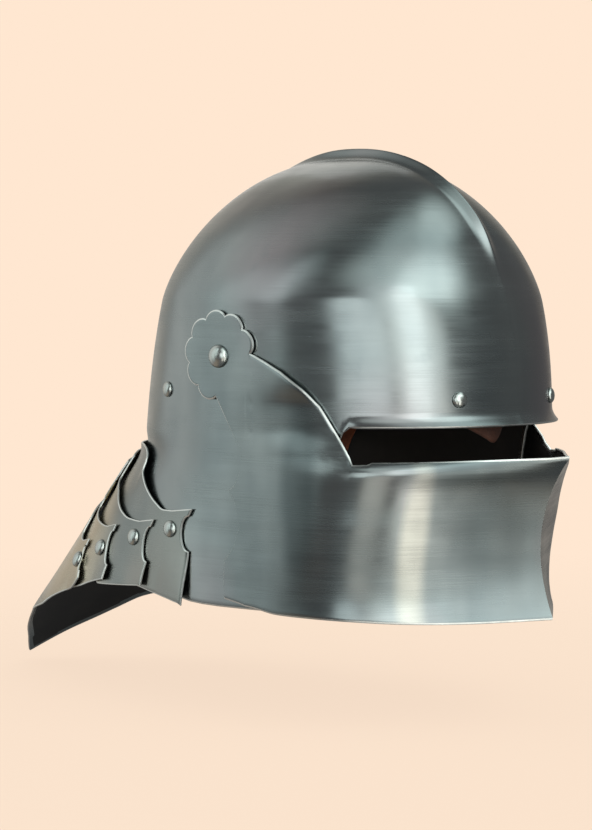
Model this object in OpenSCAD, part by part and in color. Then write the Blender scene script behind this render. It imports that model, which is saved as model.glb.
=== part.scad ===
// Sallet helmet with a hinged visor, a tail of hinged plates and a leather liner.
// Millimetres. X is across the head, Y runs back from the face, Z is up from the rim of the skull.

/* [Skull] */
// Half of the width of the skull plate over the ears
skull_half_width = 105; // [100:0.5:110]
// From the head's centre forward to the brow
skull_front = 123.8; // [120:0.2:127]
// From the head's centre back to the nape, carried down to the rim
skull_back = 132.6; // [129:0.2:136]
// Height of the dome above the rim, without the comb
dome_height = 259.6; // [255:0.2:264]
// Height at which the sides start to turn inwards
shoulder_height = 175; // [172:1:178]
// Height of the brow edge above the rim
brow_height = 105.2; // [102:0.2:110]
// How far the brow edge turns out
brow_flange = 4; // [1:0.2:5]
// Thickness of the skull plate
skull_plate = 1.6; // [1.2:0.1:2]
// Height of the comb at the crown
comb_crown = 7; // [3:0.5:9]
// Height of the comb at the brow and at the nape
comb_end = 4.2; // [2:0.2:5]
// Share of the comb that is left low on the forehead
comb_brow = 0.15; // [0.05:0.05:0.5]
// Half of the width of the comb
comb_half = 9; // [7:0.5:11]

/* [Visor] */
// Thickness of the visor plate
visor_plate = 1.6; // [1.2:0.1:2]
// Gap between the visor and the skull at the ears
visor_gap = 0.6; // [0.5:0.1:1.2]
// Pivot behind the head's centre
pivot_back = 9.5; // [8:0.5:11]
// Pivot above the rim
pivot_height = 143.4; // [141:0.5:146]
// Radius of the scalloped end between its lobes
lobe_root = 23; // [22:0.2:25]
// Radius of the scalloped end over its lobes
lobe_tip = 26.2; // [25.4:0.2:28]
// Number of lobes that show
lobe_count = 7; // [5:1:9]
// From the head's centre forward to the waist of the prow
visor_prow = 139; // [136:0.2:142]
// How much further forward the prow reaches at the sight
prow_top = 19.6; // [15:0.2:23]
// How much further forward the prow reaches at its lower end
prow_low = 8.3; // [6:0.1:10]

/* [Tail plates] */
// Thickness of each tail plate
tail_plate_thick = 1.2; // [1:0.1:1.4]
// Gap between one tail plate and the next
tail_gap = 0.7; // [0.6:0.05:0.8]
// How far the upper edges stand away behind the ears
edge_lift = 1.2; // [0.8:0.1:1.4]
// How far the lower front corner of the first plate stands away
corner_lift = 2.4; // [0:0.2:3]
// Slope of the tail at the back
tail_slope = 0.68; // [0.66:0.01:0.71]
// Height at which the nape starts to run back
flare_height = 84.6; // [82:0.2:87]
// How much fuller the nape is below that height
nape_fullness = 1.2; // [0:0.1:2]

/* [Rivets] */
// Shank of the visor pivot
pivot_shank = 6; // [5:0.5:7]
// Head of the visor pivot
pivot_head = 13.5; // [12:0.5:16]
// Shank of the small rivets
rivet_shank = 4; // [3:0.5:4.5]
// Head of the tail rivets
rivet_head = 10; // [8:0.5:11]
// Head of the liner rivets
liner_head = 9.2; // [8:0.2:11]
// Radial clearance of every bore that turns
turn_clearance = 0.05; // [0.03:0.01:0.08]
// Gap under a head or washer that turns
face_clearance = 0.1; // [0.05:0.01:0.15]
// Thickness of the steel washers
washer_thick = 1; // [0.8:0.1:1.2]

/* [Leather] */
// Thickness of the liner leather
leather = 2; // [1.5:0.1:2.5]
// Upper edge of the liner band, below the visor's pivot
band_drop = 11.4; // [10.4:0.2:13.4]
// Width of the liner band
band_width = 21; // [19:0.5:22]
// Width of the chin strap
strap_width = 14; // [12:0.5:16]
// Length of the plain strap below its rivet
strap_long = 92; // [70:1:100]
// Length of the buckle strap below its rivet
strap_short = 42; // [38:1:46]
// Diameter of the buckle's wire
buckle_wire = 2.6; // [2.2:0.1:3]

/* [Hidden] */
band_high = pivot_height - band_drop;
band_low = band_high - band_width;
brow_rivet_s = 1.745;
brow_rivet_height = band_high - 12.3;
side_rivet_back = 60;
side_rivet_height = band_high - 9;
wall_top = brow_height + 14.8;
liner_seat = 0.3;
washer_seat = 0.45;
pivot_seat = 0.55;
head_seat = 0.2;
strap_lean = 26;
visor_half = skull_half_width + visor_gap + visor_plate;
visor_centre = -10;
lame_front = [38, 71, 105.5, 130.5];
lame_front_z = [-1.4, 7.2, 7.6, 5.3];
lame_corner = [34, 67.5, 102.5, 131];
lame_corner_z = [29.6, 21.5, 16.3, 9];
lame_tip = [31.5, 62.8, 98.5, 127.5];
lame_tip_z = [54.5, 46.3, 40, 27.5];
lame_bite = [6.2, 5, 4.4, 2.6];
// Height of each plate's upper edge, from the middle of the back towards the front
lame_high = [
    [[0, 88.6], [0.45, 88.6], [0.54, 87], [0.588, 80.8], [0.611, 73.9], [0.658, 68.2], [0.723, 61.3],
        [0.777, 55.9], [0.819, 52.6], [1, 52.5]],
    [[0, 81.5], [0.3, 81], [0.369, 78.5], [0.392, 70.2], [0.426, 63.7], [0.517, 57.9],
        [0.584, 51.9], [0.64, 47.5], [0.691, 44.9], [0.75, 44.3], [1, 44.3]],
    [[0, 75], [0.2, 75], [0.338, 73.5], [0.365, 67], [0.375, 59.8], [0.385, 51.3], [0.41, 44.5],
        [0.473, 40.4], [0.526, 38.4], [0.584, 37.4], [0.65, 38], [1, 38]],
    [[0, 52], [0.2, 50], [0.306, 44.5], [0.37, 41], [0.405, 36.5], [0.423, 32.2], [0.444, 28], [0.489, 25.3],
        [0.55, 25.5], [1, 25.5]]
];
// Share of the stand-off that each upper edge takes
lame_stand = [
    [[0, 0.9], [0.42, 0.9], [0.5, 0.5], [0.57, 0.4], [0.62, 1], [0.7, 1], [0.85, 0]],
    [[0, 1.5], [0.36, 1.5], [0.5, 1], [0.6, 0.9], [0.74, 0]],
    [[0, 1.2], [0.38, 1.25], [0.5, 1], [0.62, 0]],
    [[0, 0.8], [0.42, 0.75], [0.5, 0.5], [0.56, 0]]
];
lame_kick = [1, 0.65, 0.65, 0.5];
lame_pivot = [49.5, 81.5, 115, 140];
lame_pivot_z = [42.2, 35.3, 26.6, 17.4];
skull_low = [[0, 78], [0.3, 78], [0.41, 74], [0.5, 64], [0.6, 56], [0.72, 47], [0.79, 43], [0.81, 36],
    [0.835, 22], [0.87, 8], [0.95, 1.3], [0.99, 0], [1.16, 0], [1.19, 12], [1.246, 40], [1.292, 70],
    [1.323, 90], [1.335, 100], [1.37, brow_height]];
lame_low = [
    [[0, 68], [0.3, 68], [0.4, 60], [0.5, 48], [0.6, 38], [0.65, 35], [0.69, 30], [0.72, 20], [0.755, 9.5],
        [0.825, 6.5], [0.869, 4], [0.91, 1.7], [0.944, -0.3], [1, -1.4]],
    [[0, 60], [0.2, 58], [0.3, 54], [0.4, 44], [0.45, 38], [0.5, 33], [0.575, 25], [0.61, 18], [0.65, 9],
        [0.679, 4.6], [0.727, 5.2], [0.781, 6.2], [0.836, 7.4]],
    [[0, 38], [0.2, 38], [0.3, 28], [0.4, 16], [0.47, 7], [0.53, 1], [0.56, -1.5], [0.604, 0.4], [0.658, 4.9],
        [0.706, 7.6]],
    [[0, -66], [0.04, -59], [0.08, -52.5], [0.15, -43], [0.19, -37], [0.25, -28.3], [0.331, -23.5],
        [0.372, -21], [0.428, -17.4], [0.465, -12.8], [0.506, -8.6], [0.553, -4.5], [0.59, -1.7], [0.61, 5.3]]
];

function ease(t) = let(c = max(0, min(1, t))) c * c * (3 - 2 * c);

// Outline of the skull and tail at one height
function half_width(z) = skull_half_width * arch(z, shoulder_height, 1.54);
function arch(z, start, n) = let(t = max(0, min(1, (z - start) / (dome_height - start))))
    pow(1 - pow(t, n), 1 / n);
function front_reach(z) = skull_front * arch(z, 99, 2.42);
function back_reach(z) = let(d = max(0, flare_height - z))
    skull_back * arch(z, -4.5, 2.62) + tail_slope * (sqrt(d * d + 7) - sqrt(7)) + 0.0017 * d * d
    + nape_fullness * ease((z - 38) / 16) * ease((80 - z) / 16);
function back_centre(z) = 12 * ease((95 - z) / 90);
function fullness(z) = 2.2 + 0.3 * ease((95 - z) / 90) - 0.3 * ease((-10 - z) / 60);

// A point on the outline: s is 0 at the middle of the back, 1 at the ear and 2 at the middle of the brow
function base_point(s, z) = let(w = abs(s), n = w <= 1 ? fullness(z) : 2.2,
    t = w <= 1 ? 90 * w : 90 * (2 - w), c = back_centre(z))
    [sign(s) * half_width(z) * pow(sin(t), 2 / n),
     w <= 1 ? c + (back_reach(z) - c) * pow(cos(t), 2 / n) : -front_reach(z) * pow(cos(t), 2 / n),
     z];
function level(p) = let(c = back_centre(p[2]), rear = p[1] > c, n = rear ? fullness(p[2]) : 2.2,
    q = rear ? (p[1] - c) / (back_reach(p[2]) - c) : min(0, p[1]) / front_reach(p[2]))
    pow(abs(p[0]) / half_width(p[2]), n) + pow(abs(q), n);
function base_normal(p) = let(e = 0.05,
    g = [level(p + [e, 0, 0]) - level(p - [e, 0, 0]), level(p + [0, e, 0]) - level(p - [0, e, 0]),
        level(p + [0, 0, e]) - level(p - [0, 0, e])])
    g / norm(g);
function flat_normal(v) = let(f = [v[0], v[1], 0]) f / norm(f);
// Place on the outline of a point beside the head at depth y and height z
function s_beside(y, z) = let(c = back_centre(z), n = fullness(z))
    y > c ? acos(min(1, pow((y - c) / (back_reach(z) - c), n / 2))) / 90
          : y > 0 ? 1 : 2 - acos(pow(-y / front_reach(z), 1.1)) / 90;
function beside(y, z) = base_point(s_beside(y, z), z);
function beside_normal(y, z) = base_normal(beside(y, z));
function comb_rise(x, y, z) = let(k = max(0, 1 - abs(x) / comb_half))
    (comb_end + (comb_crown - comb_end) * pow(cos(min(90, abs(y) * 0.9)), 2)) * k * k
        * (y > 0 ? ease((z - 96) / 24) * (1 - 0.7 * ease(y / 70))
                 : 1 - (1 - comb_brow) * ease((222 - z) / 32));

// A closed plate between an outer and an inner grid of points
function side_strip(a, b, ai, bi) = [[b, a, ai], [b, ai, bi]];
function grid_faces(rows, cols, start, around, turn) = [
    for (r = [0 : rows - 2]) for (c = [0 : around ? cols - 1 : cols - 2])
        let(n = (c + 1) % cols, a = start + r * cols + c, b = start + r * cols + n,
            d = a + cols, e = b + cols)
        each (turn ? [[a, e, b], [a, d, e]] : [[a, b, e], [a, e, d]])];
module plate(outer, inner, around = false) {
    rows = len(outer);
    cols = len(outer[0]);
    k = rows * cols;
    top = (rows - 1) * cols;
    polyhedron(
        points = concat([for (r = outer) each r], [for (r = inner) each r]),
        faces = concat(
            grid_faces(rows, cols, 0, around, false),
            grid_faces(rows, cols, k, around, true),
            [for (c = [0 : around ? cols - 1 : cols - 2]) let(n = (c + 1) % cols)
                each side_strip(c, n, k + c, k + n)],
            [for (c = [0 : around ? cols - 1 : cols - 2]) let(n = (c + 1) % cols)
                each side_strip(top + n, top + c, k + top + n, k + top + c)],
            around ? [] : [for (r = [0 : rows - 2]) let(a = r * cols, d = a + cols)
                each side_strip(d, a, k + d, k + a)],
            around ? [] : [for (r = [0 : rows - 2]) let(b = r * cols + cols - 1, e = b + cols)
                each side_strip(b, e, k + b, k + e)]),
        convexity = 10);
}

// Turning a piece so that its own Z points along v
module point_along(v) {
    rotate([0, acos(v[2] / norm(v)), atan2(v[1], v[0])]) children();
}
module dome_head(d, h) {
    rotate_extrude($fn = 32)
        polygon([for (i = [0 : 8]) [d / 2 * cos(i * 11.25), h * sin(i * 11.25)], [0, 0]]);
}

// The skull
skull_columns = 14;
function quarter(k, z, n) = let(h = half_width(z),
    q = [for (j = [0 : 3]) asin(pow(min(j * comb_half / 3, h * 0.12 * j) / h, n / 2)) / 90])
    k <= 3 ? q[k] : q[3] + (1 - q[3]) * (k - 3) / (skull_columns - 3);
function loop_s(c, z) = let(m = skull_columns)
    c <= m ? quarter(c, z, fullness(z)) : c <= 2 * m ? 2 - quarter(2 * m - c, z, 2.2) : -loop_s(4 * m - c, z);
function skull_edge(w) = lookup(w, skull_low);
function flange(w, z) = brow_flange * pow(max(0, min(1, (brow_height + 7.5 - z) / 8)), 2)
    * ease((w - 1.35) / 0.04);
function skull_point(s, z, off) = let(p = base_point(s, z), v = base_normal(p),
    u = z < 0.001 ? flat_normal(v) : v,
    out = comb_rise(p[0], p[1], z) + flange(abs(s), z) - tuck(abs(s), z) - off)
    p + u * out;
// The skull draws in a little where the first tail plate swings over it
function tuck(w, z) = 1.6 * ease((99 - z) / 12) * ease((0.8 - w) / 0.2);
wall_rows = 7;
dome_rows = 11;
function skull_z(r, w) = r < wall_rows
    ? skull_edge(w) + (wall_top - skull_edge(w)) * (w > 1.3 ? pow(r / wall_rows, 1.5) : r / wall_rows)
    : wall_top + (dome_height - wall_top) * sin((r - wall_rows) * 83.4 / dome_rows);
function skull_grid(off) = [for (r = [0 : wall_rows + dome_rows]) [for (c = [0 : 4 * skull_columns - 1])
    let(s0 = loop_s(c, 110), z = skull_z(r, abs(s0)), s = r < wall_rows ? s0 : loop_s(c, z))
    skull_point(s, z, off)]];
module skull_shell() {
    outer = skull_grid(0);
    inner = skull_grid(skull_plate);
    rows = len(outer);
    cols = len(outer[0]);
    k = rows * cols;
    top = (rows - 1) * cols;
    tip = 2 * k;
    polyhedron(
        points = concat([for (r = outer) each r], [for (r = inner) each r],
            [[0, 0, dome_height + comb_crown], [0, 0, dome_height + comb_crown - skull_plate]]),
        faces = concat(
            grid_faces(rows, cols, 0, true, false),
            grid_faces(rows, cols, k, true, true),
            [for (c = [0 : cols - 1]) let(n = (c + 1) % cols) [top + c, top + n, tip]],
            [for (c = [0 : cols - 1]) let(n = (c + 1) % cols) [k + top + n, k + top + c, tip + 1]],
            [for (c = [0 : cols - 1]) let(n = (c + 1) % cols) each side_strip(c, n, k + c, k + n)]),
        convexity = 10);
}
module skull() {
    color([0.47, 0.52, 0.52])
    difference() {
        skull_shell();
        translate([0, pivot_back, pivot_height]) rotate([0, 90, 0])
            cylinder(h = 3 * skull_half_width, d = pivot_shank, center = true, $fn = 32);
        translate([0, lame_pivot[0], lame_pivot_z[0]]) rotate([0, 90, 0])
            cylinder(h = 3 * skull_half_width, d = rivet_shank + 2 * turn_clearance, center = true, $fn = 24);
        for (m = [-1, 1]) {
            liner_bore(m * brow_rivet_s);
            liner_bore(m * s_beside(side_rivet_back, side_rivet_height), side_rivet_height);
        }
    }
}
module liner_bore(s, z = brow_rivet_height) {
    p = base_point(s, z);
    translate(p) point_along(base_normal(p)) cylinder(h = 24, d = rivet_shank, center = true, $fn = 24);
}

// The visor
// Its outline at one height: a straight side and a flat front plane each side of the prow, rounded together
function prow_reach(z) = visor_prow - 10
    + prow_top * pow(max(0, min(z, 87) - 33) / 54, 2.2) + prow_low * pow(max(0, 33 - z) / 36.6, 1.8);
arm_root = 88;
prow_slants = [[-3.6, 0.675], [5, 0.655], [20, 0.6], [35, 0.552], [50, 0.53], [60, 0.54], [75, 0.57],
    [80, 0.59], [84, 0.66], [87.4, 0.745]];
// How square the side and the front plane meet: a little less along the arm
function visor_square(z) = 8 - 2.5 * ease((z - arm_root) / 14) * ease((pivot_height - 9.4 - z) / 18);
function visor_point(w, z, off) = let(m = lookup(z, prow_slants), p = visor_square(z),
    a = visor_half - off, b = prow_reach(z) - off * sqrt(1 + m * m),
    t = 90 * min(1, 2 - w), y = w <= 1 ? (w - 1) * 60 : 0,
    r = pow(pow(sin(t), p) + pow(m * a / b * sin(t) + cos(t), p), -1 / p))
    w <= 1 ? [a * pow(1 - pow((m * a + y) / b, p), 1 / p), visor_centre - y, z]
           : [r * a * sin(t), visor_centre - r * b * cos(t), z];
function visor_w(y, z) = y >= visor_centre ? 1 - (y - visor_centre) / 60
    : 1 + (visor_centre - y) / 215;
function visor_beside(y, z, off) = visor_point(visor_w(y, z), z, off);
arm_steps = 8;
function arc_yz(k) = let(q = 264 + 100 * k / arm_steps)
    [pivot_back - lobe_root * cos(q), pivot_height + lobe_root * sin(q)];
function lobe_yz(i, n) = let(q = 364 + 260 * i / n, r = lobe_root
    + (lobe_tip - lobe_root) * pow(abs(sin(180 * i * lobe_count / n)), 0.7))
    [pivot_back - r * cos(q), pivot_height + r * sin(q)];
visor_rear = [[5.2, 5.5], [16, 5.9], [27.1, 5.5], [31.4, 0.9], [36.2, -2.2], [41.4, -3.7], [47.3, -6.7],
    [49.5, -4.6], [59, -2.9], [63, -1.2], [66.8, 2.3], [69.2, -1.5], [75.1, -5.2], [82, -7.5], [90.5, -6.8],
    [104.4, 2.3], [120.3, 11.9]];
visor_cols = concat([for (k = [0 : arm_steps]) visor_w(arc_yz(k)[0], arc_yz(k)[1])],
    [1.063, 1.108, 1.165, 1.195, 1.219, 1.248, 1.282, 1.309, 1.347, 1.358, 1.4, 1.46, 1.54, 1.66, 1.8, 1.9,
        1.96, 2]);
visor_upper = [[1.02, 144.8], [1.065, 140.1], [1.11, 134.9], [1.166, 126], [1.217, 115.5], [1.246, 105.6],
    [1.28, 95], [1.309, 84.4], [1.347, 84.7], [1.359, 85.9], [1.6, 86], [1.94, 86.5], [2, 87.2]];
visor_lower = [[0.742, 5.2], [1.019, 1.6], [1.107, -1.2], [1.214, -1.9], [1.302, -2.5], [1.468, -4.2],
    [1.622, -5.1], [1.751, -5.3], [1.886, -5], [2, -4.6]];
function visor_grid_point(k, j, off) = let(last = len(visor_rear) - 1,
    v = (visor_rear[j][0] - visor_rear[0][0]) / (visor_rear[last][0] - visor_rear[0][0]),
    wt = visor_cols[k], wb = k < arm_steps ? 0.742 + (visor_cols[arm_steps] - 0.742) * k / arm_steps : wt,
    zt = k <= arm_steps ? arc_yz(k)[1] : lookup(wt, visor_upper), zb = lookup(wb, visor_lower),
    z = zb + (zt - zb) * v, w0 = wb + (wt - wb) * v, w8 = visor_cols[arm_steps],
    edge = 1 - (visor_rear[j][1] - visor_centre) / 60, edge0 = 0.742 + (visor_cols[0] - 0.742) * v)
    k <= arm_steps && j == last ? visor_beside(arc_yz(k)[0], arc_yz(k)[1], off)
        : visor_point(k < arm_steps ? edge + (w8 - edge) * (w0 - edge0) / (w8 - edge0) : w0, z, off);
function mirror_x(p, m) = [m * p[0], p[1], p[2]];
module visor_shell() {
    last = len(visor_cols) - 1;
    cols = 2 * last + 1;
    rows = len(visor_rear);
    half = rows * cols;
    body = [for (off = [0, visor_plate]) for (j = [0 : rows - 1]) for (i = [0 : cols - 1])
        mirror_x(visor_grid_point(i <= last ? i : cols - 1 - i, j, off), i <= last ? 1 : -1)];
    top = (rows - 1) * cols;
    lobes = 6 * lobe_count;
    rim = concat([for (k = [0 : arm_steps]) arc_yz(k)], [for (i = [1 : lobes - 1]) lobe_yz(i, lobes)]);
    m = len(rim);
    around = [for (f = [1, 0.66, 0.33]) [for (p = rim) [pivot_back, pivot_height] * (1 - f) + p * f]];
    function end_points(side, off) = concat([for (r = around) each [for (i = [0 : m - 1])
        let(p = r[side > 0 ? i : (m + arm_steps - i) % m]) mirror_x(visor_beside(p[0], p[1], off), side)]],
        [mirror_x(visor_beside(pivot_back, pivot_height, off), side)]);
    size = 3 * m + 1;
    function end_faces(start, turn) = concat(
        [for (r = [0, 1]) for (i = [0 : m - 1])
            let(n = (i + 1) % m, a = start + r * m + i, b = start + r * m + n)
            each (turn ? [[a, b + m, b], [a, a + m, b + m]] : [[a, b, b + m], [a, b + m, a + m]])],
        [for (i = [0 : m - 1]) let(n = (i + 1) % m, a = start + 2 * m + i, b = start + 2 * m + n)
            turn ? [a, start + 3 * m, b] : [a, b, start + 3 * m]]);
    function end_edge(start) = [for (i = [arm_steps : m - 1]) let(n = (i + 1) % m)
        each side_strip(start + i, start + n, start + size + i, start + size + n)];
    e1 = 2 * half;
    e2 = e1 + 2 * size;
    polyhedron(
        points = concat(body, end_points(1, 0), end_points(1, visor_plate),
            end_points(-1, 0), end_points(-1, visor_plate)),
        faces = concat(
            grid_faces(rows, cols, 0, false, false),
            grid_faces(rows, cols, half, false, true),
            [for (c = [0 : cols - 2]) each side_strip(c, c + 1, half + c, half + c + 1)],
            [for (c = [arm_steps : cols - 2 - arm_steps])
                each side_strip(top + c + 1, top + c, half + top + c + 1, half + top + c)],
            [for (r = [0 : rows - 2]) let(a = r * cols, d = a + cols)
                each side_strip(d, a, half + d, half + a)],
            [for (r = [0 : rows - 2]) let(b = r * cols + cols - 1, e = b + cols)
                each side_strip(b, e, half + b, half + e)],
            end_faces(e1, false), end_faces(e1 + size, true), end_edge(e1),
            end_faces(e2, false), end_faces(e2 + size, true), end_edge(e2)),
        convexity = 10);
}
module visor() {
    color([0.46, 0.51, 0.52])
    difference() {
        visor_shell();
        translate([0, pivot_back, pivot_height]) rotate([0, 90, 0])
            cylinder(h = 3 * skull_half_width, d = pivot_shank + 2 * turn_clearance, center = true, $fn = 32);
    }
}

// The tail plates
function lame_inner(k) = tail_gap + k * (tail_plate_thick + tail_gap);
function lame_front_y(k, z) = let(c0 = lame_corner_z[k], c1 = lame_tip_z[k] - 4, r = (z - c0) / (c1 - c0))
    z <= c0 ? lame_front[k]
        + (lame_corner[k] - lame_front[k]) * (z - lame_front_z[k]) / (c0 - lame_front_z[k])
    : z <= c1 ? lame_corner[k] + (lame_tip[k] + 2.5 - lame_corner[k]) * r
        + lame_bite[k] * sqrt(max(0, 1 - pow(2 * r - 1, 2)))
    : lame_tip[k] + 2.5 - 2.5 * (z - c1) / 4;
function lame_rows(k) = let(span = lame_tip_z[k] - lame_front_z[k],
    c = (lame_corner_z[k] - lame_front_z[k]) / span, a = 1 - 4 / span)
    concat([0, c / 2], [for (i = [0 : 6]) c + (a - c) * (1 - cos(30 * i)) / 2], [1]);
lame_columns = 14;
function lame_point(k, f, v, off) = let(g = abs(f), w_low = s_beside(lame_front[k], lame_front_z[k]),
    w_top = s_beside(lame_tip[k], lame_tip_z[k]), wb = w_low * g, wt = w_top * g,
    zb = g == 1 ? lame_front_z[k] : lookup(wb, lame_low[k]),
    zt = lookup(wt, lame_high[k]) + 2 * max(0, (g - 0.93) / 0.07),
    z = zb + (zt - zb) * v, z_end = lame_front_z[k] + (lame_tip_z[k] - lame_front_z[k]) * v,
    w_end = s_beside(lame_front_y(k, z_end), z_end),
    w = wb + (wt - wb) * v + pow(g, 4) * (w_end - w_low - (w_top - w_low) * v),
    p = base_point(sign(f) * w, z), n = base_normal(p),
    lift = edge_lift * lookup(w, lame_stand[k]) * pow(v, 4)
        + corner_lift * lame_kick[k] * ease((0.55 - v) / 0.5) * max(0, (g - 0.929) / 0.071))
    p + n * (lame_inner(k) + lift + off);
function lame_grid(k, off) = [for (v = lame_rows(k)) [for (i = [-lame_columns : lame_columns])
    lame_point(k, i / lame_columns, v, off)]];
module lame(k) {
    color([0.46, 0.5, 0.5])
    difference() {
        plate(lame_grid(k, tail_plate_thick), lame_grid(k, 0));
        translate([0, lame_pivot[k], lame_pivot_z[k]]) rotate([0, 90, 0])
            cylinder(h = 3 * skull_half_width, d = rivet_shank, center = true, $fn = 24);
        if (k < 3)
            translate([0, lame_pivot[k + 1], lame_pivot_z[k + 1]]) rotate([0, 90, 0])
                cylinder(h = 3 * skull_half_width, d = rivet_shank + 2 * turn_clearance, center = true,
                    $fn = 24);
    }
}
module lame_1() { lame(0); }
module lame_2() { lame(1); }
module lame_3() { lame(2); }
module tail_plate() { lame(3); }

// Rivets
module rivet_end(d) {
    cylinder(h = 0.8, d1 = d * 0.8, d2 = d, $fn = 24);
}
// A rivet standing along the skull's normal, through everything down to the depth given
module liner_rivet(s, z, depth) {
    p = base_point(s, z);
    color([0.62, 0.66, 0.66])
    translate(p) point_along(base_normal(p)) union() {
        translate([0, 0, head_seat]) dome_head(liner_head, 2.6);
        translate([0, 0, -depth - 0.8]) rivet_end(rivet_shank + 1.6);
        translate([0, 0, -depth - 0.1]) cylinder(h = depth + 1.4, d = rivet_shank, $fn = 24);
    }
}
module liner_washer(s, z, depth) {
    p = base_point(s, z);
    color([0.5, 0.54, 0.54])
    translate(p) point_along(base_normal(p)) translate([0, 0, -depth]) difference() {
        cylinder(h = washer_thick, d = liner_head, $fn = 32);
        translate([0, 0, -1]) cylinder(h = washer_thick + 2, d = rivet_shank, $fn = 24);
    }
}
function side_s() = s_beside(side_rivet_back, side_rivet_height);
brow_depth = skull_plate + liner_seat + leather + washer_seat + washer_thick;
side_depth = skull_plate + 2 * liner_seat + 2 * leather + washer_seat + washer_thick;
module brow_rivet_left() { liner_rivet(brow_rivet_s, brow_rivet_height, brow_depth); }
module brow_rivet_right() { liner_rivet(-brow_rivet_s, brow_rivet_height, brow_depth); }
module side_rivet_left() { liner_rivet(side_s(), side_rivet_height, side_depth); }
module side_rivet_right() { liner_rivet(-side_s(), side_rivet_height, side_depth); }
module liner_washers() {
    for (m = [-1, 1]) {
        liner_washer(m * brow_rivet_s, brow_rivet_height, brow_depth);
        liner_washer(m * side_s(), side_rivet_height, side_depth);
    }
}

// The visor's pivot rivets, fast in the skull
pivot_face = beside(pivot_back, pivot_height)[0] - skull_plate - pivot_seat;
module pivot_rivet(m) {
    color([0.62, 0.66, 0.66])
    translate([0, pivot_back, pivot_height]) rotate([0, m * 90, 0]) union() {
        translate([0, 0, visor_half + face_clearance]) dome_head(pivot_head, 4.2);
        translate([0, 0, pivot_face - washer_thick - 1])
            cylinder(h = 1, d1 = pivot_shank, d2 = pivot_shank + 2.4, $fn = 32);
        translate([0, 0, pivot_face - washer_thick - 0.1])
            cylinder(h = visor_half + 2 - pivot_face + washer_thick, d = pivot_shank, $fn = 32);
    }
}
module pivot_rivet_left() { pivot_rivet(1); }
module pivot_rivet_right() { pivot_rivet(-1); }
module pivot_washer(m) {
    color([0.5, 0.54, 0.54])
    translate([0, pivot_back, pivot_height]) rotate([0, m * 90, 0]) difference() {
        translate([0, 0, pivot_face - washer_thick]) cylinder(h = washer_thick, d = pivot_head - 1, $fn = 32);
        translate([0, 0, pivot_face - 5]) cylinder(h = 10, d = pivot_shank, $fn = 32);
    }
}
module pivot_washer_left() { pivot_washer(1); }
module pivot_washer_right() { pivot_washer(-1); }

// Tail rivets: each turns with its own plate, and its washer runs on the plate under it
washer_run = face_clearance + 0.4;
function under_face(k) = k == 0 ? -skull_plate : lame_inner(k - 1);
function pivot_x(k, off) = let(p = beside(lame_pivot[k], lame_pivot_z[k]), n = base_normal(p))
    p[0] + off / n[0];
function pivot_normal(k, m) = let(n = beside_normal(lame_pivot[k], lame_pivot_z[k]))
    [m * n[0], n[1], n[2]];
module at_pivot(k, m, off) {
    translate([m * pivot_x(k, off), lame_pivot[k], lame_pivot_z[k]])
        point_along(pivot_normal(k, m)) children();
}
module lame_rivet(k, m) {
    inside = under_face(k) - washer_run - washer_thick;
    color([0.62, 0.66, 0.66])
    union() {
        at_pivot(k, m, lame_inner(k) + tail_plate_thick + head_seat) dome_head(rivet_head, 2.8);
        at_pivot(k, m, inside) translate([0, 0, -0.8]) rivet_end(rivet_shank + 1.6);
        translate([m * pivot_x(k, inside - 0.3), lame_pivot[k], lame_pivot_z[k]]) rotate([0, m * 90, 0])
            cylinder(h = pivot_x(k, lame_inner(k) + tail_plate_thick + 1.2) - pivot_x(k, inside - 0.3),
                d = rivet_shank, $fn = 24);
    }
}
module lame_washers(k) {
    inside = under_face(k) - washer_run - washer_thick;
    color([0.5, 0.54, 0.54])
    for (m = [-1, 1])
        difference() {
            at_pivot(k, m, inside) cylinder(h = washer_thick, d = rivet_head - 2, $fn = 32);
            translate([m * pivot_x(k, inside - 4), lame_pivot[k], lame_pivot_z[k]]) rotate([0, m * 90, 0])
                cylinder(h = 9, d = rivet_shank, $fn = 24);
        }
}
module lame_1_rivet_left() { lame_rivet(0, 1); }
module lame_1_rivet_right() { lame_rivet(0, -1); }
module lame_2_rivet_left() { lame_rivet(1, 1); }
module lame_2_rivet_right() { lame_rivet(1, -1); }
module lame_3_rivet_left() { lame_rivet(2, 1); }
module lame_3_rivet_right() { lame_rivet(2, -1); }
module tail_rivet_left() { lame_rivet(3, 1); }
module tail_rivet_right() { lame_rivet(3, -1); }
module lame_1_washers() { lame_washers(0); }
module lame_2_washers() { lame_washers(1); }
module lame_3_washers() { lame_washers(2); }
module tail_washers() { lame_washers(3); }

// The leather inside
band_face = skull_plate + liner_seat;
function lined(s, z, off) = let(p = base_point(s, z)) p - base_normal(p) * off;
function band_grid(off) = [for (z = [band_low, (band_low + band_high) / 2, band_high])
    [for (c = [0 : 4 * skull_columns - 1]) lined(loop_s(c, 110), z, off)]];
module liner_bands_bores() {
    for (m = [-1, 1]) {
        liner_bore(m * brow_rivet_s);
        liner_bore(m * side_s(), side_rivet_height);
    }
}
module liner_band() {
    color([0.36, 0.2, 0.11])
    difference() {
        plate(band_grid(band_face), band_grid(band_face + leather), true);
        liner_bands_bores();
    }
}
crown_rise = [0, 4, 12, 30, 56, 84, 104];
function crown_grid(off) = [for (h = crown_rise) let(z = band_high + h)
    [for (c = [0 : 4 * skull_columns - 1])
        lined(loop_s(c, 110), z, band_face + min(16, 1.1 * h) + off)]];
module liner_crown() {
    color([0.4, 0.23, 0.13])
    plate(crown_grid(0), crown_grid(leather), true);
}
flap_face = band_face + leather + liner_seat;
function flap_low(f) = band_low
    - lookup(f, [[0, 6], [0.08, 11], [0.18, 14.6], [0.3, 16], [0.4, 15.2], [0.5, 13.4], [1, 5.5]]);
flap_top = band_low + 3;
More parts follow.
